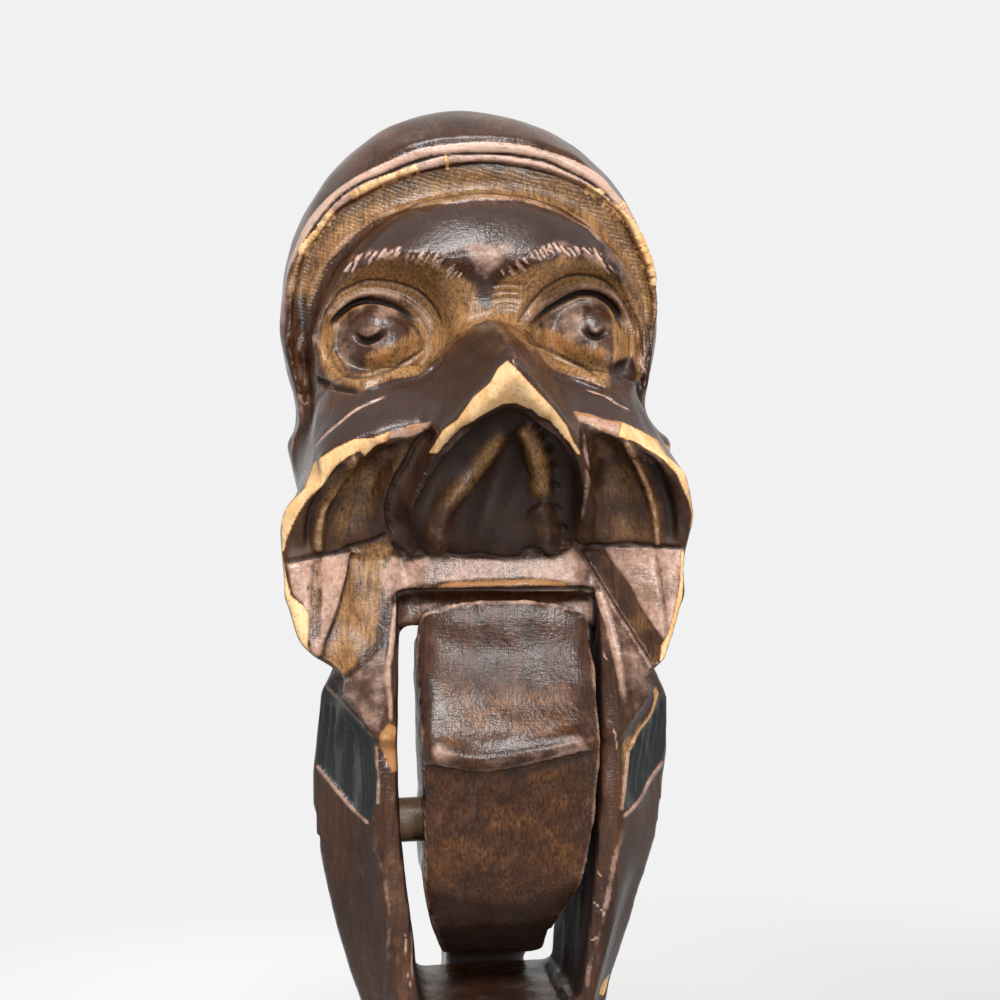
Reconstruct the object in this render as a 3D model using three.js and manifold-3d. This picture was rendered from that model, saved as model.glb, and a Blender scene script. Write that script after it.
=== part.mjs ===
import * as THREE from 'three';
import { mergeVertices } from 'three/addons/utils/BufferGeometryUtils.js';
import Module from 'manifold-3d';

// A wooden lever nutcracker carved as a head in a hooded cap. Millimetres, +Z up.
// The face looks towards -Y and X = 0 is the middle. Depths are measured backwards from the
// flat plane of the upper lip, and the finished group is moved so that its origin is in the
// middle of the flat end of the fixed handle.

const wasm = await Module();
wasm.setup();

// Clearances and the overrun of cutting solids.
const seatGap = 0.3;
const jawSideGap = 1.5;
const leverShift = 0.6;
const overrun = 12;

// Pivot dowel.
const dowelDiameter = 6.3;
const dowelProud = 0.4;
const pivotHeight = 90;
const pivotDepth = 13;

// Fixed handle and cheeks.
const handleDepth = 22;
const handleFrontDepth = 5;
const cheekWidth = 53.6;
const slotWidth = 28;
const slotFloorHeight = 66.6;
const mouthTopHeight = 121.7;
const palateDrop = 4.5;
const palateHeight = mouthTopHeight - palateDrop;
const palateRise = 4;
const palateStep = 2.5;
const slotRunDepth = 34;
const palateHollow = { width: 19, depth: 14, height: 10, atDepth: 10 };

// Head and cap.
const capWidth = 66.4;
const capDepth = 62;
const capHeight = 90;
const capCentreHeight = 162;
const capCentreDepth = 27;
const capFullness = 2.25;
const capSquareness = 3;
const brimHeight = 183.6;
const brimTilt = THREE.MathUtils.degToRad(22);
const brimRim = 3;
const brimRecess = 4;

// Face inside the brim.
const faceWidth = 57;
const faceHeight = 58;
const faceDepth = 53;
const faceCentreHeight = 158.5;
const faceCentreDepth = 22;
const faceSquareness = 4;
const browHollowRadius = 11;
const browHollowDepth = -11;
const browHollowHeight = 162;
const socket = { width: 24, depth: 25, height: 20, atDepth: -4.5 };
const eyeSpacing = 32.8;
const eyeHeight = 161;
const eyeDepth = 10.5;
const eyeDiameter = 18;
const lidWidth = 19.6;
const lidThickness = 2.4;
const lidDepth = 3.6;
const lidHeightShare = 0.78;

// Nose and moustache wings.
const wingSpan = 58.4;
const noseReach = 22;
const noseRise = 36;
const creaseHeight = 127;

// Jaw lever.
const lipClearance = 1.3;
const palateClearance = 0.9;
const jawHeight = mouthTopHeight - lipClearance;
const jawStep = palateHeight - palateClearance;
const chinReach = 4.5;
const leverDepth = 49.5;
const leverEndHeight = 1;
const nutHollow = { width: 19, depth: 12, height: 20, atDepth: 9 };

const lidSides = 8;
const roundSteps = 24;
const domeSteps = 40;

// A closed skin over rings of points that all have the same count.
function skin(rings, toPlane) {
  const count = rings[0].length;
  const positions = rings.flat().flatMap((p) => [p.x, p.y, p.z]);
  const faces = [];
  for (let ring = 0; ring < rings.length - 1; ring += 1) {
    for (let i = 0; i < count; i += 1) {
      const next = (i + 1) % count;
      const a = ring * count + i;
      const b = ring * count + next;
      faces.push(a, b, b + count, a, b + count, a + count);
    }
  }
  const last = (rings.length - 1) * count;
  for (const [a, b, c] of THREE.ShapeUtils.triangulateShape(rings[0].map(toPlane), [])) {
    faces.push(c, b, a);
  }
  for (const [a, b, c] of THREE.ShapeUtils.triangulateShape(rings.at(-1).map(toPlane), [])) {
    faces.push(last + a, last + b, last + c);
  }
  const geometry = new THREE.BufferGeometry();
  geometry.setAttribute('position', new THREE.Float32BufferAttribute(positions, 3));
  geometry.setIndex(faces);
  return geometry;
}

function enclosedVolume(positions, faces) {
  let volume = 0;
  const corner = [0, 1, 2].map(() => new THREE.Vector3());
  for (let i = 0; i < faces.length; i += 3) {
    corner.forEach((point, k) => point.fromArray(positions, faces[i + k] * 3));
    volume += corner[0].dot(corner[1].clone().cross(corner[2])) / 6;
  }
  return volume;
}

// A solid for joining and cutting, turned the right way out if its skin is inside out.
function solid(geometry) {
  const bare = geometry.clone();
  bare.deleteAttribute('normal');
  bare.deleteAttribute('uv');
  const merged = mergeVertices(bare);
  const vertProperties = Float32Array.from(merged.attributes.position.array);
  const triVerts = Uint32Array.from(merged.index.array);
  if (enclosedVolume(vertProperties, triVerts) < 0) triVerts.reverse();
  return new wasm.Manifold(new wasm.Mesh({ numProp: 3, vertProperties, triVerts }));
}

function piece(name, shape, colour, roughness) {
  const { vertProperties, triVerts } = shape.getMesh();
  const geometry = new THREE.BufferGeometry();
  geometry.setAttribute('position', new THREE.BufferAttribute(vertProperties, 3));
  geometry.setIndex(new THREE.BufferAttribute(triVerts, 1));
  geometry.computeVertexNormals();
  const material = new THREE.MeshStandardMaterial({ color: colour, roughness, metalness: 0 });
  const mesh = new THREE.Mesh(geometry, material);
  mesh.name = name;
  return mesh;
}

// A ball whose sides are squared off. One power rounds it in the front view, the other in depth.
function ball(width, depth, height, centre, frontPower = 2, depthPower = 2, steps = roundSteps) {
  const geometry = new THREE.SphereGeometry(1, steps, steps / 2);
  geometry.rotateX(Math.PI / 2);
  const place = geometry.attributes.position;
  for (let i = 0; i < place.count; i += 1) {
    const p = new THREE.Vector3().fromBufferAttribute(place, i);
    const front = (Math.abs(p.x) ** frontPower + Math.abs(p.z) ** frontPower) ** (1 / frontPower);
    const reach = (front ** depthPower + Math.abs(p.y) ** depthPower) ** (1 / depthPower);
    p.divideScalar(reach);
    place.setXYZ(i, (p.x * width) / 2, (p.y * depth) / 2, (p.z * height) / 2);
  }
  geometry.translate(centre.x, centre.y, centre.z);
  return solid(geometry);
}

// A prism along X from an outline of [depth, height] points.
function sidePrism(outline, width) {
  const shape = new THREE.Shape(outline.map(([y, z]) => new THREE.Vector2(y, z)));
  const geometry = new THREE.ExtrudeGeometry(shape, { depth: width, bevelEnabled: false });
  geometry.translate(0, 0, -width / 2);
  geometry.applyMatrix4(new THREE.Matrix4().makeBasis(
    new THREE.Vector3(0, 1, 0), new THREE.Vector3(0, 0, 1), new THREE.Vector3(1, 0, 0),
  ));
  return solid(geometry);
}

// A prism along Y from the right half of an outline of [half width, height] points.
function frontPrism(half, frontDepth, backDepth) {
  const mirrored = half.map(([x, z]) => [-x, z]).reverse();
  const shape = new THREE.Shape([...half, ...mirrored].map(([x, z]) => new THREE.Vector2(x, z)));
  const depth = backDepth - frontDepth;
  const geometry = new THREE.ExtrudeGeometry(shape, { depth, bevelEnabled: false });
  geometry.rotateX(Math.PI / 2);
  geometry.translate(0, backDepth, 0);
  return solid(geometry);
}

function rodAlongX(diameter, length, depth, height) {
  const flatDiameter = diameter / Math.cos(Math.PI / roundSteps);
  const geometry = new THREE.CylinderGeometry(
    flatDiameter / 2, flatDiameter / 2, length, roundSteps,
  );
  geometry.rotateZ(Math.PI / 2);
  geometry.translate(0, depth, height);
  return solid(geometry);
}

// Cheeks and fixed handle: eight-sided sections up the block. Widths are shares of the cheek
// width, depths are shares of the handle depth, heights are shares of the mouth height.
const blockShares = [
  // height, front, back, frontWidth, sideWidth, sideFront, sideBack, backWidth
  [0, 0.05, 0.95, 0.3, 0.42, 0.24, 0.76, 0.3],
  [0.025, 0, 1, 0.34, 0.49, 0.24, 0.78, 0.34],
  [0.2, 0, 1, 0.32, 0.48, 0.24, 0.78, 0.32],
  [0.41, 0, 1.05, 0.38, 0.58, 0.23, 0.84, 0.38],
  [0.547, -0.03, 1.1, 0.49, 0.69, 0.21, 0.93, 0.47],
  [0.616, -0.07, 1.14, 0.56, 0.8, 0.2, 0.96, 0.54],
  [0.74, -0.12, 1.23, 0.63, 0.93, 0.19, 1.05, 0.64],
  [0.82, -0.15, 1.27, 0.65, 0.98, 0.2, 1.09, 0.7],
  [0.9, -0.19, 1.32, 0.7, 1, 0.25, 1.16, 0.74],
  [1, -0.2, 1.4, 0.74, 1, 0.3, 1.25, 0.74],
  [1.12, -0.1, 1.55, 0.7, 0.96, 0.3, 1.3, 0.7],
];

function block() {
  const rings = blockShares.map((row) => {
    const [up, front, back, frontWide, sideWide, sideFront, sideBack, backWide] = row;
    const height = up * mouthTopHeight;
    const corner = (wide, deep) => new THREE.Vector3(
      (wide * cheekWidth) / 2, handleFrontDepth + deep * handleDepth, height,
    );
    return [
      corner(-frontWide, front), corner(frontWide, front),
      corner(sideWide, sideFront), corner(sideWide, sideBack),
      corner(backWide, back), corner(-backWide, back),
      corner(-sideWide, sideBack), corner(-sideWide, sideFront),
    ];
  });
  return solid(skin(rings, (p) => new THREE.Vector2(p.x, p.y)));
}

// Nose, moustache wings and the panel under them: sections across the face. The first value is
// a share of half the wing span, then come points as shares of the nose's reach and rise:
// root, back, edge above, edge below, underside, crease, panel, foot. A third share moves a
// point outwards, where the sides of the nose flare.
const wingShares = [
  [0, [-0.05, 0.99], [-0.55, 0.8], [-1, 0.61], [-0.98, 0.54], [-0.41, 0.33], [0, 0],
    [0, -0.36], [0.02, -0.72]],
  [0.15, [-0.05, 0.94], [-0.45, 0.72], [-0.86, 0.5], [-0.84, 0.43], [-0.36, 0.25], [0, 0],
    [0, -0.36], [0.02, -0.72]],
  [0.325, [-0.05, 0.8], [-0.32, 0.59], [-0.64, 0.38], [-0.61, 0.32], [-0.34, 0.14, 0.12],
    [0, 0, 0.09], [0, -0.36], [0.02, -0.72]],
  [0.37, [-0.08, 0.78], [-0.24, 0.62], [-0.44, 0.46], [-0.38, 0.39], [-0.2, 0.18, 0.11],
    [0.06, 0, 0.09], [0, -0.36], [0.02, -0.72]],
  [0.58, [-0.16, 0.74], [-0.3, 0.6], [-0.48, 0.43], [-0.45, 0.36], [-0.2, 0.19], [0, 0.01],
    [-0.05, -0.36], [0.02, -0.72]],
  [0.745, [-0.14, 0.72], [-0.27, 0.56], [-0.44, 0.38], [-0.41, 0.31], [-0.21, 0.15], [-0.04, 0],
    [-0.12, -0.25], [-0.14, -0.52]],
  [0.83, [-0.06, 0.7], [-0.2, 0.53], [-0.4, 0.34], [-0.37, 0.27], [-0.21, 0.12], [-0.07, 0],
    [-0.15, -0.22], [-0.18, -0.43]],
  [0.9, [0.1, 0.66], [-0.1, 0.48], [-0.34, 0.28], [-0.32, 0.21], [-0.22, 0.1], [-0.11, 0],
    [-0.17, -0.17], [-0.19, -0.33]],
  [1, [0.4, 0.5], [0.1, 0.3], [-0.18, 0.13], [-0.18, 0.1], [-0.16, 0.05], [-0.14, 0],
    [-0.15, -0.08], [-0.16, -0.17]],
];
const wingBackShare = 0.8;

function noseAndWings() {
  const section = (side, [out, ...points]) => {
    const root = points[0];
    const foot = points.at(-1);
    const loop = [[wingBackShare, root[1]], ...points, [wingBackShare, foot[1]]];
    return loop.map(([deep, up, flare = 0]) => new THREE.Vector3(
      (side * (out + flare) * wingSpan) / 2, deep * noseReach, creaseHeight + up * noseRise,
    ));
  };
  const left = wingShares.slice(1).reverse().map((row) => section(-1, row));
  const right = wingShares.map((row) => section(1, row));
  return solid(skin([...left, ...right], (p) => new THREE.Vector2(p.y, p.z)));
}

// The hooded cap, cut off flat by the plane of its brim, with a hollow inside the rim.
function cap() {
  const centre = new THREE.Vector3(0, capCentreDepth, capCentreHeight);
  const dome = ball(
    capWidth, capDepth, capHeight, centre, capFullness, capSquareness, domeSteps,
  );
  const ahead = new THREE.BoxGeometry(2 * capWidth, 2 * capDepth, 4 * capHeight);
  ahead.translate(0, -capDepth, 0);
  ahead.rotateX(brimTilt);
  ahead.translate(0, 0, brimHeight);
  const mouth = ball(
    capWidth - 2 * brimRim, brimRecess * 2, capHeight - 2 * brimRim,
    new THREE.Vector3(), capFullness, faceSquareness, domeSteps,
  );
  const bandCentre = capCentreHeight - brimHeight;
  const open = mouth.rotate([THREE.MathUtils.radToDeg(brimTilt), 0, 0]).translate([
    0, -bandCentre * Math.tan(brimTilt), capCentreHeight,
  ]);
  return dome.subtract(solid(ahead)).subtract(open);
}

function eye(side) {
  const x = (side * eyeSpacing) / 2;
  const ballCentre = new THREE.Vector3(x, eyeDepth, eyeHeight);
  const lids = new THREE.TorusGeometry(lidWidth / 2, lidThickness / 2, lidSides, roundSteps);
  lids.rotateX(Math.PI / 2);
  lids.scale(1, 1, lidHeightShare);
  lids.translate(x, lidDepth, eyeHeight);
  return ball(eyeDiameter, eyeDiameter, eyeDiameter, ballCentre).add(solid(lids));
}

function face() {
  const centre = new THREE.Vector3(0, faceCentreDepth, faceCentreHeight);
  let drum = ball(faceWidth, faceDepth, faceHeight, centre, 2, faceSquareness, domeSteps);
  drum = drum.subtract(
    rodAlongX(2 * browHollowRadius, faceWidth + overrun, browHollowDepth, browHollowHeight),
  );
  for (const side of [-1, 1]) {
    const at = new THREE.Vector3((side * eyeSpacing) / 2, socket.atDepth, eyeHeight);
    drum = drum.subtract(ball(socket.width, socket.depth, socket.height, at));
    drum = drum.add(eye(side));
  }
  return drum;
}

// The slot through the block, seen from the front: [share of half the slot, height].
function slot() {
  const half = slotWidth / 2;
  const span = mouthTopHeight - slotFloorHeight;
  const outline = [
    [0.78 * half, slotFloorHeight],
    [0.83 * half, slotFloorHeight + 0.13 * span],
    [0.9 * half, slotFloorHeight + 0.25 * span],
    [0.98 * half, slotFloorHeight + 0.42 * span],
    [1.01 * half, slotFloorHeight + 0.62 * span],
    [half, mouthTopHeight],
  ];
  const through = frontPrism(outline, -noseReach - overrun, slotRunDepth + overrun);
  const roof = sidePrism([
    [palateStep, palateHeight],
    [slotRunDepth, palateHeight + palateRise],
    [slotRunDepth + overrun, palateHeight + palateRise],
    [slotRunDepth + overrun, mouthTopHeight + overrun],
    [palateStep, mouthTopHeight + overrun],
  ], slotWidth + overrun);
  const hollowCentre = new THREE.Vector3(0, palateHollow.atDepth, palateHeight);
  const { width, depth, height } = palateHollow;
  return through.subtract(roof).add(ball(width, depth, height, hollowCentre));
}

function carvedBody() {
  const bore = rodAlongX(dowelDiameter + 2 * seatGap, cheekWidth + overrun, pivotDepth, pivotHeight);
  return block().add(cap()).add(face()).add(noseAndWings()).subtract(slot()).subtract(bore);
}

// The lever from the side: [depth, height] from the lip down the front and up the back.
function leverSide() {
  const backOfPin = leverDepth - pivotDepth;
  const drop = slotFloorHeight;
  const frontRise = jawHeight - pivotHeight;
  return [
    [-0.33 * chinReach, jawHeight],
    [-0.1 * chinReach, pivotHeight + 0.76 * frontRise],
    [-0.33 * chinReach, pivotHeight + 0.56 * frontRise],
    [-chinReach, pivotHeight + 0.38 * frontRise],
    [-0.9 * chinReach, pivotHeight + 0.28 * frontRise],
    [-0.1 * chinReach, pivotHeight + 0.1 * frontRise],
    [0.23 * pivotDepth, pivotHeight - 0.3 * (pivotHeight - drop)],
    [0.62 * pivotDepth, pivotHeight - 0.6 * (pivotHeight - drop)],
    [1.15 * pivotDepth, pivotHeight - 0.8 * (pivotHeight - drop)],
    [pivotDepth + 0.36 * backOfPin, pivotHeight - 0.88 * (pivotHeight - drop)],
    [pivotDepth + 0.51 * backOfPin, 0.98 * drop],
    [pivotDepth + 0.575 * backOfPin, 0.87 * drop],
    [pivotDepth + 0.6 * backOfPin, 0.6 * drop],
    [pivotDepth + 0.59 * backOfPin, 0.3 * drop],
    [pivotDepth + 0.6 * backOfPin, leverEndHeight],
    [pivotDepth + 0.94 * backOfPin, leverEndHeight],
    [leverDepth, 0.3 * drop],
    [pivotDepth + 0.99 * backOfPin, 0.67 * drop],
    [pivotDepth + 0.9 * backOfPin, 0.93 * drop],
    [pivotDepth + 0.69 * backOfPin, pivotHeight - 0.6 * (pivotHeight - drop)],
    [pivotDepth + 0.47 * backOfPin, pivotHeight - 0.25 * (pivotHeight - drop)],
    [pivotDepth + 0.33 * backOfPin, pivotHeight + 0.13 * frontRise],
    [pivotDepth + 0.25 * backOfPin, pivotHeight + 0.46 * frontRise],
    [pivotDepth + 0.11 * backOfPin, pivotHeight + 0.75 * frontRise],
    [1.15 * pivotDepth, jawStep],
    [palateStep - 2 * seatGap, jawStep],
    [palateStep - 2 * seatGap, jawHeight],
  ];
}

// The lever from the front: [half width, height] from the end of the handle up to the lip.
function leverFront() {
  const half = slotWidth / 2 - jawSideGap - seatGap;
  const drop = slotFloorHeight;
  const frontRise = jawHeight - pivotHeight;
  return [
    [0.64 * half, leverEndHeight],
    [0.72 * half, 0.06 * drop],
    [0.7 * half, 0.3 * drop],
    [0.58 * half, 0.68 * drop],
    [0.52 * half, 0.96 * drop],
    [0.54 * half, 1.06 * drop],
    [0.89 * half, 1.23 * drop],
    [0.95 * half, pivotHeight],
    [half, pivotHeight + 0.355 * frontRise],
    [half, pivotHeight + 0.674 * frontRise],
    [0.985 * half, jawStep + 0.2 * (jawHeight - jawStep)],
    [0.93 * half, jawStep + 0.55 * (jawHeight - jawStep)],
    [0.6 * half, jawStep + 0.86 * (jawHeight - jawStep)],
    [0.2 * half, jawHeight],
  ];
}

function jawLever() {
  const fromSide = sidePrism(leverSide(), slotWidth);
  const fromFront = frontPrism(leverFront(), -chinReach - overrun, leverDepth + overrun);
  const hollowCentre = new THREE.Vector3(0, nutHollow.atDepth, jawStep);
  const { width, depth, height } = nutHollow;
  const bore = rodAlongX(dowelDiameter + 2 * seatGap, slotWidth + overrun, pivotDepth, pivotHeight);
  return fromSide.intersect(fromFront)
    .subtract(ball(width, depth, height, hollowCentre))
    .subtract(bore)
    .translate([leverShift, 0, 0]);
}

function pivotDowel() {
  const pinShare = blockShares.find(([up]) => up * mouthTopHeight >= pivotHeight)[4];
  const length = pinShare * cheekWidth + 2 * dowelProud;
  const geometry = new THREE.CylinderGeometry(
    dowelDiameter / 2, dowelDiameter / 2, length, roundSteps,
  );
  geometry.rotateZ(Math.PI / 2);
  geometry.translate(0, pivotDepth, pivotHeight);
  return solid(geometry);
}

const nutcracker = new THREE.Group();
nutcracker.add(
  piece('carved_body', carvedBody(), 0x4a2c1a, 0.42),
  piece('jaw_lever', jawLever(), 0x4f2f1c, 0.4),
  piece('pivot_dowel', pivotDowel(), 0xa87c4f, 0.6),
);
nutcracker.position.y = -(handleFrontDepth + handleDepth / 2);

export default nutcracker;
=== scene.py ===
import math

import bpy
import numpy as np
from mathutils import Matrix, Vector
from mathutils.bvhtree import BVHTree


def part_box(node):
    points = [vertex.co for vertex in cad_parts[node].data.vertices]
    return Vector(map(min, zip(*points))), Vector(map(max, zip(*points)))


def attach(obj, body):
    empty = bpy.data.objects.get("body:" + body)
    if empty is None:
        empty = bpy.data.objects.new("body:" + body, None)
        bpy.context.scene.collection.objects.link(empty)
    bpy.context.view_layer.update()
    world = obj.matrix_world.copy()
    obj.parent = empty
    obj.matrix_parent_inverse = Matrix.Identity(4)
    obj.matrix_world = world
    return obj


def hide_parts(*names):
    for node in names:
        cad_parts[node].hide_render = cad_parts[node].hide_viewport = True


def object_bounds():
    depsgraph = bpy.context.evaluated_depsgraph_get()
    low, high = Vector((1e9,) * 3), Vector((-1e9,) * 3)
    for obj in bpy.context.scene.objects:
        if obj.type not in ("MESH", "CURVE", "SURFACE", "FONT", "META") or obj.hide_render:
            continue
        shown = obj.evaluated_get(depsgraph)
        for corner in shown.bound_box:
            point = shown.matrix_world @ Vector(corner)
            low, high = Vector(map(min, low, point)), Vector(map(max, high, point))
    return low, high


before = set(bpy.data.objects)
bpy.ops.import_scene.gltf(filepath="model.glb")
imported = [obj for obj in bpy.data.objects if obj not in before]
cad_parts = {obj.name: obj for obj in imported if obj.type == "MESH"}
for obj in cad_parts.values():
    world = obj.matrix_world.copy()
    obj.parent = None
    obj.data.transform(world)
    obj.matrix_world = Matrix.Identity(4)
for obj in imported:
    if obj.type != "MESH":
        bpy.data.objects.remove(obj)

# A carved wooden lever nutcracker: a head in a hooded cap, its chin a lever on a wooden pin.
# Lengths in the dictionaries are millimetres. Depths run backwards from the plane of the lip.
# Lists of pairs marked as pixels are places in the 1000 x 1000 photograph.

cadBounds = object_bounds()
mm = 0.001
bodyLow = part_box("carved_body")[0]
dowelLow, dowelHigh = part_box("pivot_dowel")
weldWithin = 0.01
noseReach = 22           # from the lip plane forwards to the tip of the nose
lipPlane = bodyLow.y + noseReach * mm
bpy.context.scene.view_settings.view_transform = "Standard"

# the photograph's view: a square frame, seen from a little below and to the left
viewSettings = {
    "pitch": 12.0,
    "turn": 7.0,
    "roll": -1.0,
    "x": -16.8,
    "depth": -140,
    "height": 105,
    "pixels": 1000,
    "sensor": 36,
    "lens": 36,
    "nearest": 5,            # nothing nearer to the camera is drawn
}


def viewTurn(s):
    pitch, turn, roll = (math.radians(s[key]) for key in ("pitch", "turn", "roll"))
    return (Matrix.Rotation(-turn, 4, "Z") @ Matrix.Rotation(math.pi / 2 + pitch, 4, "X")
            @ Matrix.Rotation(roll, 4, "Z"))


# small helpers

def place(x, depth, height):
    return Vector((x * mm, lipPlane + depth * mm, height * mm))


def activate(piece):
    bpy.ops.object.select_all(action="DESELECT")
    piece.select_set(True)
    bpy.context.view_layer.objects.active = piece


def applied(piece, kind, **settings):
    activate(piece)
    modifier = piece.modifiers.new(kind.title(), kind)
    for key, value in settings.items():
        setattr(modifier, key, value)
    bpy.ops.object.modifier_apply(modifier=modifier.name)
    return piece


def frozen(piece):
    activate(piece)
    bpy.ops.object.transform_apply(location=True, rotation=True, scale=True)
    return piece


def nodeCopy(node, name):
    piece = bpy.data.objects.new(name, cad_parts[node].data.copy())
    piece.data.name = name
    bpy.context.scene.collection.objects.link(piece)
    activate(piece)
    bpy.ops.object.mode_set(mode="EDIT")
    bpy.ops.mesh.select_all(action="SELECT")
    bpy.ops.mesh.remove_doubles(threshold=weldWithin * mm)
    bpy.ops.object.mode_set(mode="OBJECT")
    return piece


# a smooth line through given points
def smoothLine(points, spacing):
    knots = [np.array(p, float) for p in points]
    knots = [2 * knots[0] - knots[1], *knots, 2 * knots[-1] - knots[-2]]
    line = []
    for a, b, c, d in zip(knots, knots[1:], knots[2:], knots[3:]):
        steps = max(1, round(np.linalg.norm(c - b) / spacing))
        for t in np.arange(steps) / steps:
            line.append(0.5 * (2 * b + (c - a) * t + (2 * a - 5 * b + 4 * c - d) * t * t
                               + (3 * b - a - 3 * c + d) * t ** 3))
    line.append(knots[-2])
    return np.array(line)


def ease(t):
    t = np.clip(t, 0, 1)
    return t * t * (3 - 2 * t)


# A block of wood under the knife. Cuts move its points along their normals and leave tones
# on it, which the materials read. Cuts are placed by pixels of the photograph, or by sides.
class Carving:
    sides = {"front": ((0, 2), (0, 1, 0)), "back": ((0, 2), (0, -1, 0)),
             "right": ((1, 2), (-1, 0, 0)), "left": ((1, 2), (1, 0, 0))}
    # the third tone is worn varnish, and in a few places a painted highlight; the fifth is painted
    # shade with some grime, in hollows, grooves, creases, undersides and gaps between parts
    toneNames = ("fresh", "bare", "rub", "dark", "grime", "paint", "comb", "combing")
    margin = 0.05            # from the box of the whole object
    clearOf = 0.6            # how far off the wood a ray to the eye starts
    turnedAway = -0.12       # facing, below which nothing is seen
    grazing = (0.1, 0.22)    # facing where cuts begin, and how much more makes them whole
    bins = 40                # stretches of a line that the edge of the wood is found in
    window = 7               # stretches that are averaged
    lapWall = 2.5            # width of a lap's steep side, pixels
    toneLead = 1.5           # tones reach further out than the cut that leaves them
    rayStart = 80
    waves = 14

    def __init__(self, piece):
        self.piece = piece
        corners = np.array(cadBounds) / mm
        corners[:, 1] -= lipPlane / mm
        self.low, self.high = corners[0] + self.margin, corners[1] - self.margin
        self.readShape()
        self.tones = {name: np.zeros(len(self.at)) for name in self.toneNames}

    def readShape(self):
        mesh = self.piece.data
        self.at = np.empty(len(mesh.vertices) * 3)
        mesh.vertices.foreach_get("co", self.at)
        self.at = self.at.reshape(-1, 3) / mm
        self.at[:, 1] -= lipPlane / mm
        self.edges = np.empty(len(mesh.edges) * 2, int)
        mesh.edges.foreach_get("vertices", self.edges)
        self.edges = self.edges.reshape(-1, 2)
        self.neighbours = np.bincount(self.edges.ravel(), minlength=len(self.at)).astype(float)
        self.look()

    # normals, and what the photograph's eye sees of the wood
    def look(self):
        mesh = self.piece.data
        self.normal = np.empty(len(mesh.vertices) * 3)
        mesh.vertex_normals.foreach_get("vector", self.normal)
        self.normal = self.normal.reshape(-1, 3)
        self.tree = BVHTree.FromPolygons([Vector(p) for p in self.at],
                                         [tuple(p.vertices) for p in mesh.polygons])
        s = viewSettings
        turn = np.array(viewTurn(s).to_3x3())
        eye = np.array([s["x"], s["depth"], s["height"]], float)
        away = self.at - eye
        local = away @ turn
        ahead = -local[:, 2]
        self.ahead, self.across = ahead, turn.T[:2]
        self.pixel = np.stack([s["pixels"] * (0.5 + local[:, 0] / ahead),
                               s["pixels"] * (0.5 - local[:, 1] / ahead)], 1)
        toEye = -away / np.linalg.norm(away, axis=1)[:, None]
        self.facing = (self.normal * toEye).sum(1)
        self.seen = np.zeros(len(self.at))
        for i in np.flatnonzero(self.facing > self.turnedAway):
            start = self.at[i] + (toEye[i] + 0.5 * self.normal[i]) * self.clearOf
            if self.tree.ray_cast(Vector(start), Vector(toEye[i]))[0] is None:
                self.seen[i] = 1
        begin, span = self.grazing
        self.seen = self.blurred(self.seen[:, None], 2)[:, 0] * ease((self.facing - begin) / span)
        self.moved = np.zeros_like(self.at)

    def settle(self):
        self.at = np.clip(self.at + self.moved, self.low, self.high)
        self.moved = np.zeros_like(self.at)
        out = self.at.copy()
        out[:, 1] += lipPlane / mm
        self.piece.data.vertices.foreach_set("co", (out * mm).ravel())
        self.piece.data.update()

    def blurred(self, values, rounds, hold=0.3):
        a, b = self.edges[:, 0], self.edges[:, 1]
        for _ in range(rounds):
            total = np.stack([np.bincount(a, column[b], len(column))
                              + np.bincount(b, column[a], len(column))
                              for column in values.T], 1)
            values = hold * values + (1 - hold) * total / self.neighbours[:, None]
        return values

    # smooth the wood where the weights say so
    def relax(self, weights, rounds):
        chosen = weights[:, None]
        for _ in range(rounds):
            self.at = self.at + chosen * (self.blurred(self.at, 1) - self.at)
        self.settle()

    # how far each point stands proud of its surroundings
    def proud(self, rounds):
        return ((self.at - self.blurred(self.at, rounds)) * self.normal).sum(1)

    # points near a closed outline of pixels, and how far inside it they lie
    def within(self, outline, soft):
        outline = np.array(outline, float)
        near = self.seenNear(outline, soft)
        p = self.pixel[near][:, None]
        a, b = outline[None], np.roll(outline, -1, 0)[None]
        rise = b[..., 1] - a[..., 1]
        rise[rise == 0] = 1e-9
        straddles = (a[..., 1] > p[..., 1]) != (b[..., 1] > p[..., 1])
        crossing = a[..., 0] + (p[..., 1] - a[..., 1]) * (b[..., 0] - a[..., 0]) / rise
        inside = (straddles & (p[..., 0] < crossing)).sum(1) % 2 == 1
        span = b - a
        t = np.clip(((p - a) * span).sum(2) / (span * span).sum(2), 0, 1)
        distance = np.linalg.norm(p - a - t[..., None] * span, axis=2).min(1)
        return near, np.where(inside, distance, -distance)

    def seenNear(self, line, reach):
        low, high = line.min(0) - reach, line.max(0) + reach
        return np.flatnonzero(((self.pixel > low) & (self.pixel < high)).all(1) & (self.seen > 0.02))

    def paintTones(self, near, weight, tones):
        for name, amount in tones.items():
            tone = self.tones[name]
            tone[near] += (amount - tone[near]) * np.clip(weight, 0, 1)

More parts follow.
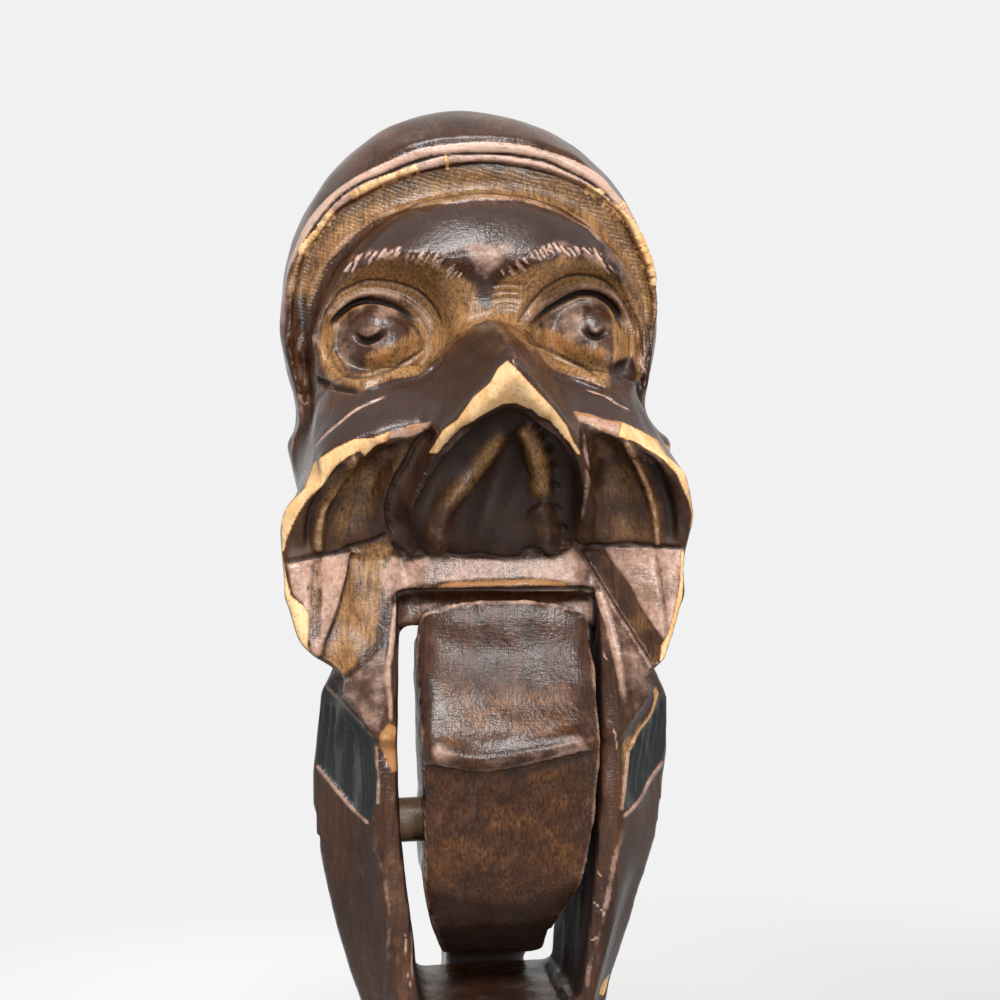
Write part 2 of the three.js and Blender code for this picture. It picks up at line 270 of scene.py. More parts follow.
    # draw an edge of the wood in or out to a line of pixels, which has the outside on its left
    def edged(self, points, reach, depths, fade, limit=45, soft=5):
        line = smoothLine(points, 8.0)
        low, high = line.min(0) - limit, line.max(0) + limit
        depth = self.at[:, 1]
        deep = ease((depth - depths[0]) / soft + 0.5) * ease((depths[1] - depth) / soft + 0.5)
        near = np.flatnonzero(((self.pixel > low) & (self.pixel < high)).all(1) & (deep > 0))
        near, across, side, along, place = self.measured(near, line, limit)
        out = -side * across * limit
        bins, window = self.bins, self.window
        edge = np.full(bins, -np.inf)
        np.maximum.at(edge, np.minimum((along * bins).astype(int), bins - 1), out)
        known = np.flatnonzero(edge > -limit)
        edge = np.interp(np.arange(bins), known, edge[known])
        edge = np.convolve(np.pad(edge, window // 2, mode="edge"), np.ones(window) / window, "valid")
        edge = np.interp(along * bins, np.arange(bins) + 0.5, edge)
        weight = ease((out + reach) / (edge + reach)) * ease(along / fade[0])
        weight *= ease((1 - along) / fade[1]) * deep[near]
        shift = -edge * weight * self.ahead[near] / viewSettings["pixels"]
        self.moved[near] += shift[:, None] * (self.leftOf(line, place) @ self.across)

    # the way to the left of a line at places along it, as shares right and up
    def leftOf(self, line, place):
        span = np.diff(line, axis=0)
        length = np.linalg.norm(span, axis=1)
        middle = np.cumsum(length) - length / 2
        way = np.stack([np.interp(place, middle, span[:, k] / length) for k in (1, 0)], 1)
        return way / np.linalg.norm(way, axis=1)[:, None]

    # tint an outlined patch
    def patch(self, outline, soft=4, **tones):
        near, inside = self.within(outline, soft)
        self.paintTones(near, ease((inside + soft / 2) / soft) * self.seen[near], tones)

    # scoop out an outlined patch, its wall a ramp of some pixels
    def scoop(self, outline, depth, ramp, runOut=None):
        near, inside = self.within(outline, ramp)
        weight = ease(inside / ramp) * self.seen[near]
        if runOut:
            weight *= ease((runOut[0] - self.pixel[near, 1]) / runOut[1])
        self.moved[near] -= self.normal[near] * (weight * depth)[:, None]

    # a cut or a ridge along a line of pixels; its height is below zero for a cut, and fade is
    # the share of its length over which each end runs out
    def stroke(self, points, shape, width, height, fade=(0.12, 0.12), **tones):
        reach = width / 2 if shape not in ("lap", "lapBack") else width
        line = smoothLine(points, max(2.0, reach / 2))
        near = self.seenNear(line, reach)
        if not len(near):
            return
        near, across, side, along, _ = self.measured(near, line, reach)
        weight = self.seen[near].copy()
        if fade[0]:
            weight *= ease(along / fade[0])
        if fade[1]:
            weight *= ease((1 - along) / fade[1])
        if shape == "vee":
            profile = 1 - across
        elif shape == "round":
            profile = np.sqrt(1 - across ** 2)
        elif shape == "soft":
            profile = ease(1 - across)
        elif shape == "flat":
            profile = ease((1 - across) * 3)
        else:                                   # a lap: a steep wall on one side of the line
            side = side if shape == "lap" else -side
            profile = np.where(side > 0, ease(1 - across), ease(1 - across * width / self.lapWall))
        weight = weight * profile
        self.moved[near] += self.normal[near] * (weight * height)[:, None]
        self.paintTones(near, weight * self.toneLead, tones)

    # distance across (as a share of the reach), side, share along, and pixels along a line
    def measured(self, near, line, reach):
        parts = []
        a, span = line[:-1], np.diff(line, axis=0)
        length = np.linalg.norm(span, axis=1)
        start = np.concatenate([[0], np.cumsum(length)])
        for chunk in np.array_split(near, len(near) // 4000 + 1):
            offset = self.pixel[chunk][:, None] - a
            t = np.clip((offset * span).sum(2) / (length ** 2), 0, 1)
            off = offset - t[..., None] * span
            distance = np.linalg.norm(off, axis=2)
            k = distance.argmin(1)
            row = np.arange(len(chunk))
            side = np.sign(span[k, 0] * off[row, k, 1] - span[k, 1] * off[row, k, 0])
            parts.append((chunk, distance[row, k] / reach, side, start[k] + t[row, k] * length[k]))
        near, across, side, place = (np.concatenate(column) for column in zip(*parts))
        inside = across < 1
        near, across, side, place = near[inside], across[inside], side[inside], place[inside]
        return near, across, side, place / start[-1], place

    # fine tool marks across a line: the material draws them from the place along it
    def combed(self, points, width, strength, lean=0.0, pitch=1.0, slant=None, **tones):
        line = smoothLine(points, 4.0)
        near = self.seenNear(line, width / 2)
        near, across, side, along, place = self.measured(near, line, width / 2)
        weight = ease((1 - across) * 2.5) * ease(along / 0.05) * ease((1 - along) / 0.05)
        along = self.pixel[near] @ slant if slant else place + lean * side * across * width / 2
        self.tones["comb"][near] = along / pitch
        self.paintTones(near, weight * self.seen[near], {"combing": strength, **tones})

    # a gouge on a side that the photograph doesn't show
    def gouge(self, start, end, side, width, depth):
        (first, second), ray = self.sides[side]
        line = []
        for t in np.linspace(0, 1, 9):
            origin = Vector((0, 0, 0))
            origin[first] = start[0] + (end[0] - start[0]) * t
            origin[second] = start[1] + (end[1] - start[1]) * t
            axis = 3 - first - second
            origin[axis] = -self.rayStart if ray[axis] > 0 else self.rayStart
            hit = self.tree.ray_cast(origin, Vector(ray))[0]
            if hit is not None:
                line.append(tuple(hit))
        if len(line) < 3:
            return
        line = np.array(line)
        reach = width / 2
        low, high = line.min(0) - reach, line.max(0) + reach
        near = np.flatnonzero(((self.at > low) & (self.at < high)).all(1))
        away = np.linalg.norm(self.at[near][:, None] - line[None], axis=2).min(1) / reach
        self.moved[near] -= self.normal[near] * (depth * ease(1 - away))[:, None]

    # a slow waviness that a knife leaves on every face
    def waver(self, height, wave, seed):
        random = np.random.default_rng(seed)
        total = np.zeros(len(self.at))
        for _ in range(self.waves):
            way = random.normal(size=3)
            way *= 2 * math.pi / (np.linalg.norm(way) * wave * random.uniform(0.6, 1.6))
            total += np.sin(self.at @ way + random.uniform(0, 2 * math.pi))
        self.moved += self.normal * (height * total / self.waves ** 0.5)[:, None]

    def storeTones(self):
        mesh = self.piece.data
        for name, tone in self.tones.items():
            attribute = mesh.attributes.new(name, "FLOAT", "POINT")
            attribute.data.foreach_set("value", tone.astype(np.float32))

    # thin the mesh to a number of triangles, but not where shape or tone changes quickly
    def thinned(self, triangles):
        faces = sum(len(p.vertices) - 2 for p in self.piece.data.polygons)
        if faces <= triangles:
            return
        a, b = self.edges[:, 0], self.edges[:, 1]
        change = np.zeros(len(self.at))
        for name in ("bare", "rub", "paint", "fresh", "dark"):
            jump = np.abs(self.tones[name][a] - self.tones[name][b])
            np.maximum.at(change, a, jump)
            np.maximum.at(change, b, jump)
        spare = np.round(1 - 0.9 * ease(change / 0.35), 1)
        group = self.piece.vertex_groups.new(name="spare")
        for weight in np.unique(spare):
            group.add(np.flatnonzero(spare == weight).tolist(), float(weight), "REPLACE")
        applied(self.piece, "DECIMATE", ratio=triangles / faces, vertex_group="spare",
                vertex_group_factor=0.02)
        self.piece.vertex_groups.clear()


# select faces of a piece by their centres and normals, ready for an operator
def selectFaces(piece, wanted):
    mesh = piece.data
    centres = np.empty(len(mesh.polygons) * 3)
    mesh.polygons.foreach_get("center", centres)
    normals = np.empty(len(mesh.polygons) * 3)
    mesh.polygons.foreach_get("normal", normals)
    centres = centres.reshape(-1, 3) / mm
    centres[:, 1] -= lipPlane / mm
    activate(piece)
    bpy.ops.object.mode_set(mode="EDIT")
    bpy.ops.mesh.select_mode(type="FACE")
    bpy.ops.mesh.select_all(action="DESELECT")
    bpy.ops.object.mode_set(mode="OBJECT")
    mesh.polygons.foreach_set("select", wanted(centres, normals.reshape(-1, 3)))
    bpy.ops.object.mode_set(mode="EDIT")


# the head, cheeks and fixed handle, one block
headSettings = {
    "voxel": 0.6,
    "frontDepth": 12,
    "frontLow": 62,
    "smoothRounds": 3,
    # stretches smoothed for some rounds: how far out, between which heights and depths
    "beside": {"out": 18, "low": 130, "high": 166, "depth": 18, "rounds": 110},
    "behindWing": {"out": 25, "low": 98, "high": 146, "near": 2, "far": 24, "rounds": 60},
    "cap": {"brimHeight": 183.6, "brimLean": 22, "low": 122, "rounds": 60},
    "handle": {"high": 64, "rounds": 20},
    "eyeRounds": 22,
    "faceRounds": 30,
    "edgeReach": 45,         # pixels
    "noseHollow": 3.2,
    "wingHollow": 2.6,
    "bandHollow": 0.9,
    "runOut": (556, 80),     # pixel row where the hollows end, and over how many rows
    "waver": 0.07,
    "wornEdges": (0.16, 0.4, 0.5),  # mm proud for full wear, then the share taken off, the most
    "shadedGrimyHollows": (0.1, 0.5),     # mm deep where painted shade and grime begin, the most
    "triangles": 192000,
}

# pixels: the outline, each stretch with the depths that it bounds and how it fades at its ends
outlines = [
    ([(290, 445), (281, 400), (277, 360), (276, 320), (279, 280), (290, 240), (308, 202),
      (342, 157), (368, 139), (390, 124), (414, 113), (450, 108), (485, 110), (515, 117),
      (541, 127), (570, 143), (600, 168), (628, 200), (646, 238), (657, 275), (660, 320),
      (654, 360), (650, 400), (646, 440)], (2, 60), (0.03, 0.03)),
    ([(648, 372), (648, 405), (652, 428), (662, 441), (676, 451), (689, 467), (695, 490),
      (696, 510), (692, 530), (685, 555), (683, 580), (681, 606), (675, 634), (664, 662),
      (655, 700)], (-14, 8), (0.06, 0.06)),
    ([(330, 700), (318, 675), (310, 667), (298, 643), (291, 618), (285, 590), (282, 562),
      (280, 534), (281, 510), (290, 489), (304, 471), (319, 458)], (-14, 8), (0.06, 0.06)),
    ([(664, 640), (668, 676), (669, 720), (665, 760), (661, 800), (656, 840), (642, 880),
      (629, 920), (617, 960), (606, 1000), (590, 1090)], (5, 60), (0.05, 0.2)),
    ([(378, 1090), (360, 1000), (345, 960), (336, 920), (326, 880), (317, 840), (313, 800),
      (312, 760), (318, 720), (324, 680), (326, 640)], (5, 60), (0.2, 0.05)),
]

leftWingSmooth = [(300, 450), (330, 400), (430, 378), (446, 410), (400, 425), (340, 440),
                  (300, 470)]
rightWingSmooth = [(515, 350), (560, 380), (630, 395), (680, 440), (690, 465), (640, 425),
                   (580, 410), (540, 380)]


def coarseCuts(wood, s):
    for points, depths, fade in outlines:
        wood.edged(points, reach=s["edgeReach"], depths=depths, fade=fade)
    wood.settle()
    x, depth, z = wood.at.T
    part = s["beside"]
    beside = ease((np.abs(x) - part["out"]) / 3) * ease((z - part["low"]) / 5)
    beside *= ease((part["high"] - z) / 5)
    wood.relax(beside * ease((part["depth"] - depth) / 4) * (1 - wood.seen), rounds=part["rounds"])
    part = s["behindWing"]
    behindWing = ease((np.abs(x) - part["out"]) / 2) * ease((z - part["low"]) / 4)
    behindWing *= ease((part["high"] - z) / 4)
    behindWing *= (ease((depth - part["near"]) / 3) * ease((part["far"] - depth) / 4)
                   * (1 - wood.seen))
    wood.relax(behindWing, rounds=part["rounds"])
    part = s["cap"]
    lean = math.tan(math.radians(part["brimLean"]))
    behindBrim = (depth - 1.5) + (z - part["brimHeight"]) * lean
    wood.relax(ease((behindBrim - 3) / 3) * ease((z - part["low"]) / 6), rounds=part["rounds"])
    wood.relax(0.5 * ease((s["handle"]["high"] - z) / 4), rounds=s["handle"]["rounds"])
    near, inside = wood.within(eyeGold, 8)
    eyes = np.zeros(len(wood.at))
    eyes[near] = ease((inside + 2) / 10) * wood.seen[near]
    wood.relax(eyes, rounds=s["eyeRounds"])
    face = np.zeros(len(wood.at))
    for outline, amount in ((browPatch, 1.0), (rightPanelPink, 0.4), (noseTop, 0.3),
                            (leftWingSmooth, 1.0), (rightWingSmooth, 1.0)):
        near, inside = wood.within(outline, 6)
        face[near] = np.maximum(face[near], amount * ease((inside + 2) / 8) * wood.seen[near])
    wood.relax(face, rounds=s["faceRounds"])
    wood.look()
    wood.scoop(noseHollow, depth=s["noseHollow"], ramp=22, runOut=s["runOut"])
    wood.scoop(leftHollow, depth=s["wingHollow"], ramp=20, runOut=s["runOut"])
    wood.scoop(rightHollow, depth=s["wingHollow"], ramp=20, runOut=s["runOut"])
    wood.stroke(bandLine, "soft", width=34, height=-s["bandHollow"])
    wood.stroke(noseFlank, "lapBack", width=16, height=-1.2)
    wood.settle()


browSettings = {
    "seed": 11,
    "chipStep": 2.0,         # pixels, as are the lengths below
    "chipOut": (1.5, 3),     # how far a chip reaches from the brim's edge, out and in
    "chipIn": (1, 6),
    "chipWidth": (3.6, 5),
    "chipBare": (0.72, 1.1),
    "hairStep": 4.6,
    "hairLength": (0.6, 1.25),
    "hairLean": 1.5,
    "hairStray": 2,
    "hairRub": (0.9, 1.5),
    "grooveAside": (3, 0),   # from a hair to the groove beside it
}

# pixels: the cap's brim and the brow
brimOuter = [(278, 345), (281, 312), (291, 272), (306, 236), (325, 209), (346, 190), (380, 171),
             (420, 155), (460, 149), (500, 148), (540, 155), (580, 170), (614, 196), (636, 228),
             (650, 262), (657, 300), (659, 340)]
brimGroove = [(292, 278), (297, 262), (310, 236), (325, 213), (342, 196), (362, 183), (387, 173),
              (408, 164), (432, 157), (460, 154), (500, 154), (520, 156), (545, 161), (563, 169),
              (585, 180), (600, 190), (618, 207), (630, 220)]
brimInner = [(286, 335), (288, 305), (294, 276), (305, 249), (320, 227), (346, 200), (385, 180),
             (430, 164), (460, 158), (500, 159), (548, 168), (588, 186), (618, 213), (638, 242),
             (650, 277), (655, 310), (656, 340)]
brimTeeth = [(292, 335), (295, 300), (304, 258), (320, 236), (337, 213), (356, 201), (384, 185),
             (410, 176), (445, 168), (475, 163), (505, 164), (535, 169), (572, 181), (600, 197),
             (623, 219), (636, 246), (646, 268), (652, 296), (654, 330)]
brimChips = [[(303, 254), (309, 244), (320, 229), (332, 214)],
             [(352, 197), (362, 190), (385, 180), (416, 168)], [(446, 158), (447, 166)],
             [(587, 188), (602, 194)], [(605, 201), (616, 210)], [(619, 213), (630, 224)],
             [(632, 226), (640, 246)], [(641, 250), (648, 266), (654, 286)],
             [(624, 202), (628, 207)]]
bandLine = [(296, 330), (302, 292), (318, 252), (345, 222), (385, 197), (430, 186), (480, 181),
            (535, 186), (585, 206), (618, 238), (636, 278), (645, 320), (647, 360)]
crestLine = [(303, 330), (314, 284), (335, 252), (370, 222), (410, 207), (450, 201), (490, 197),
             (535, 203), (575, 219), (600, 241), (622, 278), (637, 322), (641, 345)]
browPatch = [(340, 268), (352, 246), (380, 226), (430, 210), (480, 205), (530, 209), (572, 221),
             (604, 242), (622, 268), (628, 290), (612, 272), (592, 256), (560, 246), (525, 250),
             (505, 258), (488, 282), (474, 266), (450, 252), (420, 250), (385, 251), (362, 258)]
browGlare = [(458, 246), (480, 240), (505, 242), (516, 250), (505, 258), (488, 282), (474, 266)]
faceCentre = (480, 330)
eyeGold = [(318, 345), (330, 300), (350, 272), (385, 256), (430, 256), (460, 276), (486, 290),
           (515, 270), (560, 256), (600, 262), (625, 290), (640, 330), (640, 380), (600, 388),
           (560, 374), (515, 345), (485, 322), (450, 345), (415, 378), (370, 390), (325, 385)]
noseRootDark = [(474, 268), (500, 266), (492, 300), (486, 318), (478, 300)]

# pixels: the carved hairs of the brows, and how they lean
browHairs = [([(346, 268), (366, 258), (392, 254), (420, 257), (444, 266), (460, 276)], (9, -12)),
             ([(504, 272), (522, 262), (545, 252), (572, 250), (597, 256), (611, 270)], (9, 12))]
rootCombs = [[(491, 286 + 7 * i), (508, 284 + 7 * i), (526 - 2 * i, 286 + 7 * i)] for i in range(5)]


def brimAndBrow(wood, s):
    random = np.random.default_rng(s["seed"])
    wood.stroke(brimOuter, "round", width=12, height=0.35, rub=1.4)
    wood.stroke(brimInner, "round", width=9, height=0.3, rub=1.2)
    # the groove is painted with shade
    wood.stroke(brimGroove, "vee", width=3.4, height=-0.4, grime=0.9, rub=0)
    wood.stroke(brimTeeth, "lap", width=15, height=-0.7)
    wood.stroke(bandLine, "flat", width=34, height=0, fresh=0.7, rub=0)
    wood.combed(bandLine, width=40, strength=0.24, slant=(-0.25, 1), pitch=1.4)
    wood.stroke(crestLine, "round", width=6, height=0.3, rub=0.45, fresh=0.8)
    wood.patch(browPatch, soft=10, dark=0.9, fresh=0)
    # a painted highlight: the brow's glare painted as lighter pink
    wood.patch(browGlare, soft=18, rub=0.6)
    for line in brimChips:
        for spot in smoothLine(line, s["chipStep"]):
            inward = np.array(faceCentre) - spot
            inward /= np.linalg.norm(inward)
            ends = [spot - inward * random.uniform(*s["chipOut"]),
                    spot + inward * random.uniform(*s["chipIn"])]
            wood.stroke(ends, "flat", width=random.uniform(*s["chipWidth"]), height=0.05,
                        fade=(0, 0), grime=0, bare=random.uniform(*s["chipBare"]))
    wood.patch(eyeGold, soft=12, fresh=0.9)
    wood.patch(noseRootDark, soft=8, dark=0.8, fresh=0.2)
    for arc, way in browHairs:
        wood.stroke(arc, "soft", width=26, height=0.12, rub=0.35, dark=0.2)
        for spot in smoothLine(arc, s["hairStep"]):
            lean = np.array(way) * random.uniform(*s["hairLength"])
            lean = lean + random.normal(size=2) * s["hairLean"]
            spot = spot + random.normal(size=2) * s["hairStray"]
            wood.stroke([spot - lean / 2, spot + lean / 2], "soft", width=3.4, height=0.1,
                        fade=(0.3, 0.3), rub=random.uniform(*s["hairRub"]), dark=0)
            beside = spot + s["grooveAside"]
            # painted shade in the groove beside each hair
            wood.stroke([beside - lean / 2, beside + lean / 2], "vee", width=3, height=-0.2,
                        fade=(0.3, 0.3), rub=0, grime=0.3)
    # painted shade in the combs at the nose's root
    for comb in rootCombs:
        wood.stroke(comb, "vee", width=4, height=-0.15, grime=0.2)


# pixels: the eyes
leftEye = {
    "fold": [(322, 322), (334, 300), (342, 291), (353, 286), (365, 281), (382, 281), (399, 284),
             (417, 291), (429, 302), (438, 316), (445, 331)],
    "gap": [(329, 334), (337, 317), (351, 305), (367, 300), (382, 301), (397, 306), (411, 316),
            (421, 328)],
    "lidEdge": [(330, 322), (340, 307), (354, 297), (368, 293), (384, 294), (401, 299), (416, 308),
                (427, 321), (433, 337)],
    "ballEdge": [(332, 345), (333, 355), (338, 367), (347, 375)],
    "lower": [(428, 346), (411, 358), (394, 368), (380, 373), (363, 377), (348, 376), (338, 371)],
    "bag": [(446, 348), (439, 362), (421, 374), (399, 379), (380, 385), (362, 390)],
    "smile": [(354, 331), (359, 338), (367, 342), (375, 340), (382, 335), (386, 328)],
    "outer": [[(314, 333), (312, 348), (309, 363)], [(303, 335), (298, 358), (302, 384)]],
    "pupil": [(355, 330), (357, 318), (366, 312), (377, 314), (384, 322), (384, 332), (376, 339),
              (366, 341), (359, 338)],
    "ball": [(334, 350), (337, 326), (350, 312), (368, 305), (388, 306), (405, 315), (417, 327),
             (425, 343), (410, 356), (390, 367), (365, 374), (345, 371)],
    "ballGold": [(366, 356), (392, 343), (412, 332), (424, 344), (410, 356), (390, 367), (365, 372)],
    "bagLap": "lapBack",
}
rightEye = {
    "fold": [(512, 331), (522, 316), (531, 304), (543, 291), (557, 282), (569, 277), (581, 276),
             (598, 279), (612, 288), (623, 302), (631, 319), (638, 338)],
    "gap": [(626, 336), (618, 314), (609, 302), (596, 295), (581, 294), (569, 298), (555, 306),
            (543, 315), (531, 328)],
    "lidEdge": [(517, 331), (529, 319), (541, 306), (555, 297), (570, 289), (583, 286), (599, 288),
                (613, 296), (623, 309), (630, 325), (633, 342)],
    "ballEdge": [(614, 334), (614, 351), (611, 369)],
    "lower": [(523, 341), (543, 347), (560, 356), (573, 363), (586, 369), (600, 378)],
    "bag": [(512, 341), (524, 357), (543, 369), (560, 375), (579, 380), (596, 386), (611, 390)],
    "smile": [(583, 327), (588, 335), (596, 338), (603, 334), (607, 327)],
    "outer": [[(631, 318), (637, 340), (640, 368)], [(625, 290), (639, 318), (645, 352),
              (644, 380)]],
    "pupil": [(583, 326), (584, 316), (591, 310), (600, 311), (606, 318), (606, 328), (599, 334),
              (590, 333)],
    "ball": [(530, 335), (543, 321), (557, 309), (573, 300), (590, 298), (604, 305), (612, 318),
             (613, 340), (610, 366), (590, 366), (565, 356), (545, 345)],
    "ballGold": [(531, 335), (545, 326), (562, 336), (580, 346), (604, 348), (606, 364), (590, 366),
                 (565, 356), (545, 345)],
    "bagLap": "lap",
}

# pixels: a wedge cut at the left eye's corner, and the recess below the right one, both painted with
# shade
leftWedge = [(312, 377), (328, 384), (344, 388), (362, 390)]
rightRecess = [(606, 366), (618, 360), (632, 356), (638, 372), (632, 385), (614, 387)]


def carveEye(wood, eye):
    wood.patch(eye["ball"], soft=5, dark=0.6, fresh=0.2, rub=0.35)
    wood.patch(eye["ballGold"], soft=12, fresh=1.0, dark=0, rub=0.2, bare=0.45)
    wood.scoop(eye["ball"], depth=-0.7, ramp=16)
    wood.stroke(eye["lidEdge"], "soft", width=13, height=0.5, rub=0.5, fresh=0.6)
    wood.combed(eye["lidEdge"], width=9, strength=0.3)
    # painted shade in the fold, the gap under the lid, round the ball and under it
    wood.stroke(eye["fold"], "vee", width=4.5, height=-0.4, grime=0.8)
    wood.stroke(eye["gap"], "soft", width=9, height=-1.1, fade=(0.25, 0.25), grime=1.0, fresh=0,
                rub=0)
    wood.stroke(eye["ballEdge"], "vee", width=5, height=-0.3, grime=0.5)
    wood.stroke(eye["lower"], "vee", width=4.5, height=-0.4, grime=0.8)
    wood.stroke([(x, y + 5) for x, y in eye["lower"]], "soft", width=9, height=0.25, fresh=0.9)
    wood.stroke(eye["bag"], eye["bagLap"], width=12, height=-0.4, dark=0.8, fresh=0)
    wood.scoop(eye["pupil"], depth=-0.12, ramp=4)
    wood.patch(eye["pupil"], soft=5, dark=0.45, rub=0.4)
    for line in eye["outer"]:
        wood.stroke(line, "round", width=6, height=0.25, rub=0.3)
    # the crescent under the pupil is a painted shadow
    wood.stroke(eye["smile"], "soft", width=9, height=-1.2, fade=(0.35, 0.35), grime=1.0, dark=0,
                rub=0)


# pixels: the nose
noseApex = (507, 360)
noseRim = [noseApex, (519, 371), (536, 390), (554, 409), (567, 425), (574, 442), (582, 455),
           (577, 454), (570, 443), (559, 432), (542, 420), (529, 409), (515, 403), (503, 404),
           (494, 409), (475, 420), (461, 431), (451, 441), (438, 454), (428, 453), (443, 430),
           (457, 420), (473, 397), (490, 383), (498, 368)]
noseHollow = [(508, 405), (529, 411), (542, 422), (559, 434), (572, 447), (582, 462), (584, 480),
              (582, 502), (578, 526), (568, 543), (550, 553), (540, 549), (526, 550), (519, 556),
              (490, 556), (455, 554), (444, 550), (431, 551), (410, 556), (403, 545), (405, 528),
              (412, 505), (424, 480), (438, 457), (451, 443), (461, 433), (475, 422), (494, 411)]
noseLeftRib = [(506, 424), (494, 446), (480, 465), (464, 482), (449, 500), (440, 520), (436, 552)]
noseRightRib = [(521, 420), (532, 442), (538, 463), (541, 482), (541, 503)]
noseRightStub = [(534, 503), (543, 515), (547, 532), (546, 553)]
noseFlutes = [[(478, 422), (452, 452), (428, 486), (414, 520), (412, 556)],
              [(514, 430), (508, 460), (494, 492), (484, 522), (482, 558)],
              [(536, 412), (556, 446), (566, 485), (566, 520), (562, 548)]]
nosePegs = [(532, 414), (537, 427), (542, 437), (549, 452), (552, 467), (554, 486), (555, 508),
            (561, 529)]
noseTop = [(486, 322), (498, 338), (507, 358), (498, 366), (488, 382), (472, 396), (457, 419),
           (443, 429), (434, 424), (440, 400), (452, 372), (466, 344)]
leftWingTop = [(300, 455), (318, 420), (345, 396), (390, 388), (425, 378), (450, 352), (485, 324),
               (505, 357), (470, 400), (431, 420), (393, 429), (354, 438), (319, 457)]
rightWingTop = [(512, 346), (525, 362), (560, 380), (600, 392), (640, 396), (665, 436), (640, 430),
                (606, 419), (573, 411), (554, 400), (530, 378)]
noseArris = [(571, 412), (581, 434), (586, 456), (587, 476), (585, 498), (580, 526)]
noseFlank = [(436, 425), (417, 442), (405, 465), (395, 481), (388, 501), (388, 519), (396, 540)]
noseFlankPatch = [(434, 428), (440, 450), (424, 478), (412, 503), (405, 528), (404, 552), (390, 530),
                  (390, 500), (400, 476), (412, 452)]

# pixels: the wings of the moustache, above the crease
leftRim = [(431, 421), (410, 426), (393, 430), (374, 437), (354, 439), (336, 447), (319, 458),
           (304, 471), (290, 489), (281, 510), (278, 531), (279, 552), (284, 551), (287, 538),
           (298, 514), (311, 496), (323, 486), (336, 467), (349, 456), (360, 451), (365, 459),
           (377, 446), (393, 438), (410, 434), (429, 428)]
leftRimPink = [(431, 421), (410, 426), (393, 430), (385, 440), (405, 437), (429, 430)]
leftHollow = [(427, 431), (410, 437), (393, 441), (377, 449), (365, 461), (358, 453), (349, 459),
              (336, 470), (323, 489), (311, 499), (299, 516), (289, 540), (284, 560), (312, 555),
              (340, 550), (360, 544), (377, 537), (387, 530), (388, 500), (398, 474), (412, 450)]
leftRib = [(359, 455), (350, 466), (338, 480), (328, 497), (322, 513), (319, 530), (318, 552)]
leftFlute = [(388, 443), (368, 478), (354, 512), (350, 552)]
rightFlute = [(598, 430), (616, 468), (626, 510), (628, 548)]
leftRibGroove = [(347, 462), (334, 478), (322, 494), (313, 512), (309, 530), (308, 552)]
rightRim = [(573, 412), (587, 415), (606, 420), (624, 423), (641, 430), (660, 440), (676, 452),
            (689, 468), (697, 491), (697, 519), (690, 541), (690, 526), (692, 515), (689, 501),
            (683, 489), (676, 473), (664, 460), (648, 448), (634, 441), (622, 438), (603, 430),
            (578, 420)]
rightRimPink = [(573, 412), (587, 415), (606, 420), (622, 423), (618, 438), (603, 430), (578, 422)]
rightHollow = [(580, 424), (603, 433), (622, 441), (634, 444), (648, 451), (664, 463), (676, 476),
               (683, 492), (689, 504), (691, 528), (683, 547), (648, 546), (606, 546), (584, 545),
               (582, 526), (587, 498), (589, 476), (588, 456), (583, 436)]
rightRib = [(624, 441), (633, 455), (641, 473), (648, 491), (654, 512), (658, 546)]
rightRibGroove = [(638, 446), (652, 464), (662, 488), (669, 512), (672, 546)]
leftCrease = [(284, 562), (312, 557), (340, 552), (360, 546), (377, 539), (386, 534)]
midCrease = [(392, 541), (399, 551), (407, 557), (421, 557), (431, 552), (444, 551), (455, 555),
             (490, 557), (519, 557), (526, 550), (540, 549), (550, 556), (563, 553), (573, 542)]
rightCrease = [(573, 542), (584, 546), (606, 546), (648, 546), (683, 548)]
cheekScratches = [[(302, 464), (319, 441), (337, 425), (354, 411), (371, 402), (389, 394)],
                  [(581, 386), (601, 393), (615, 402), (633, 411)]]


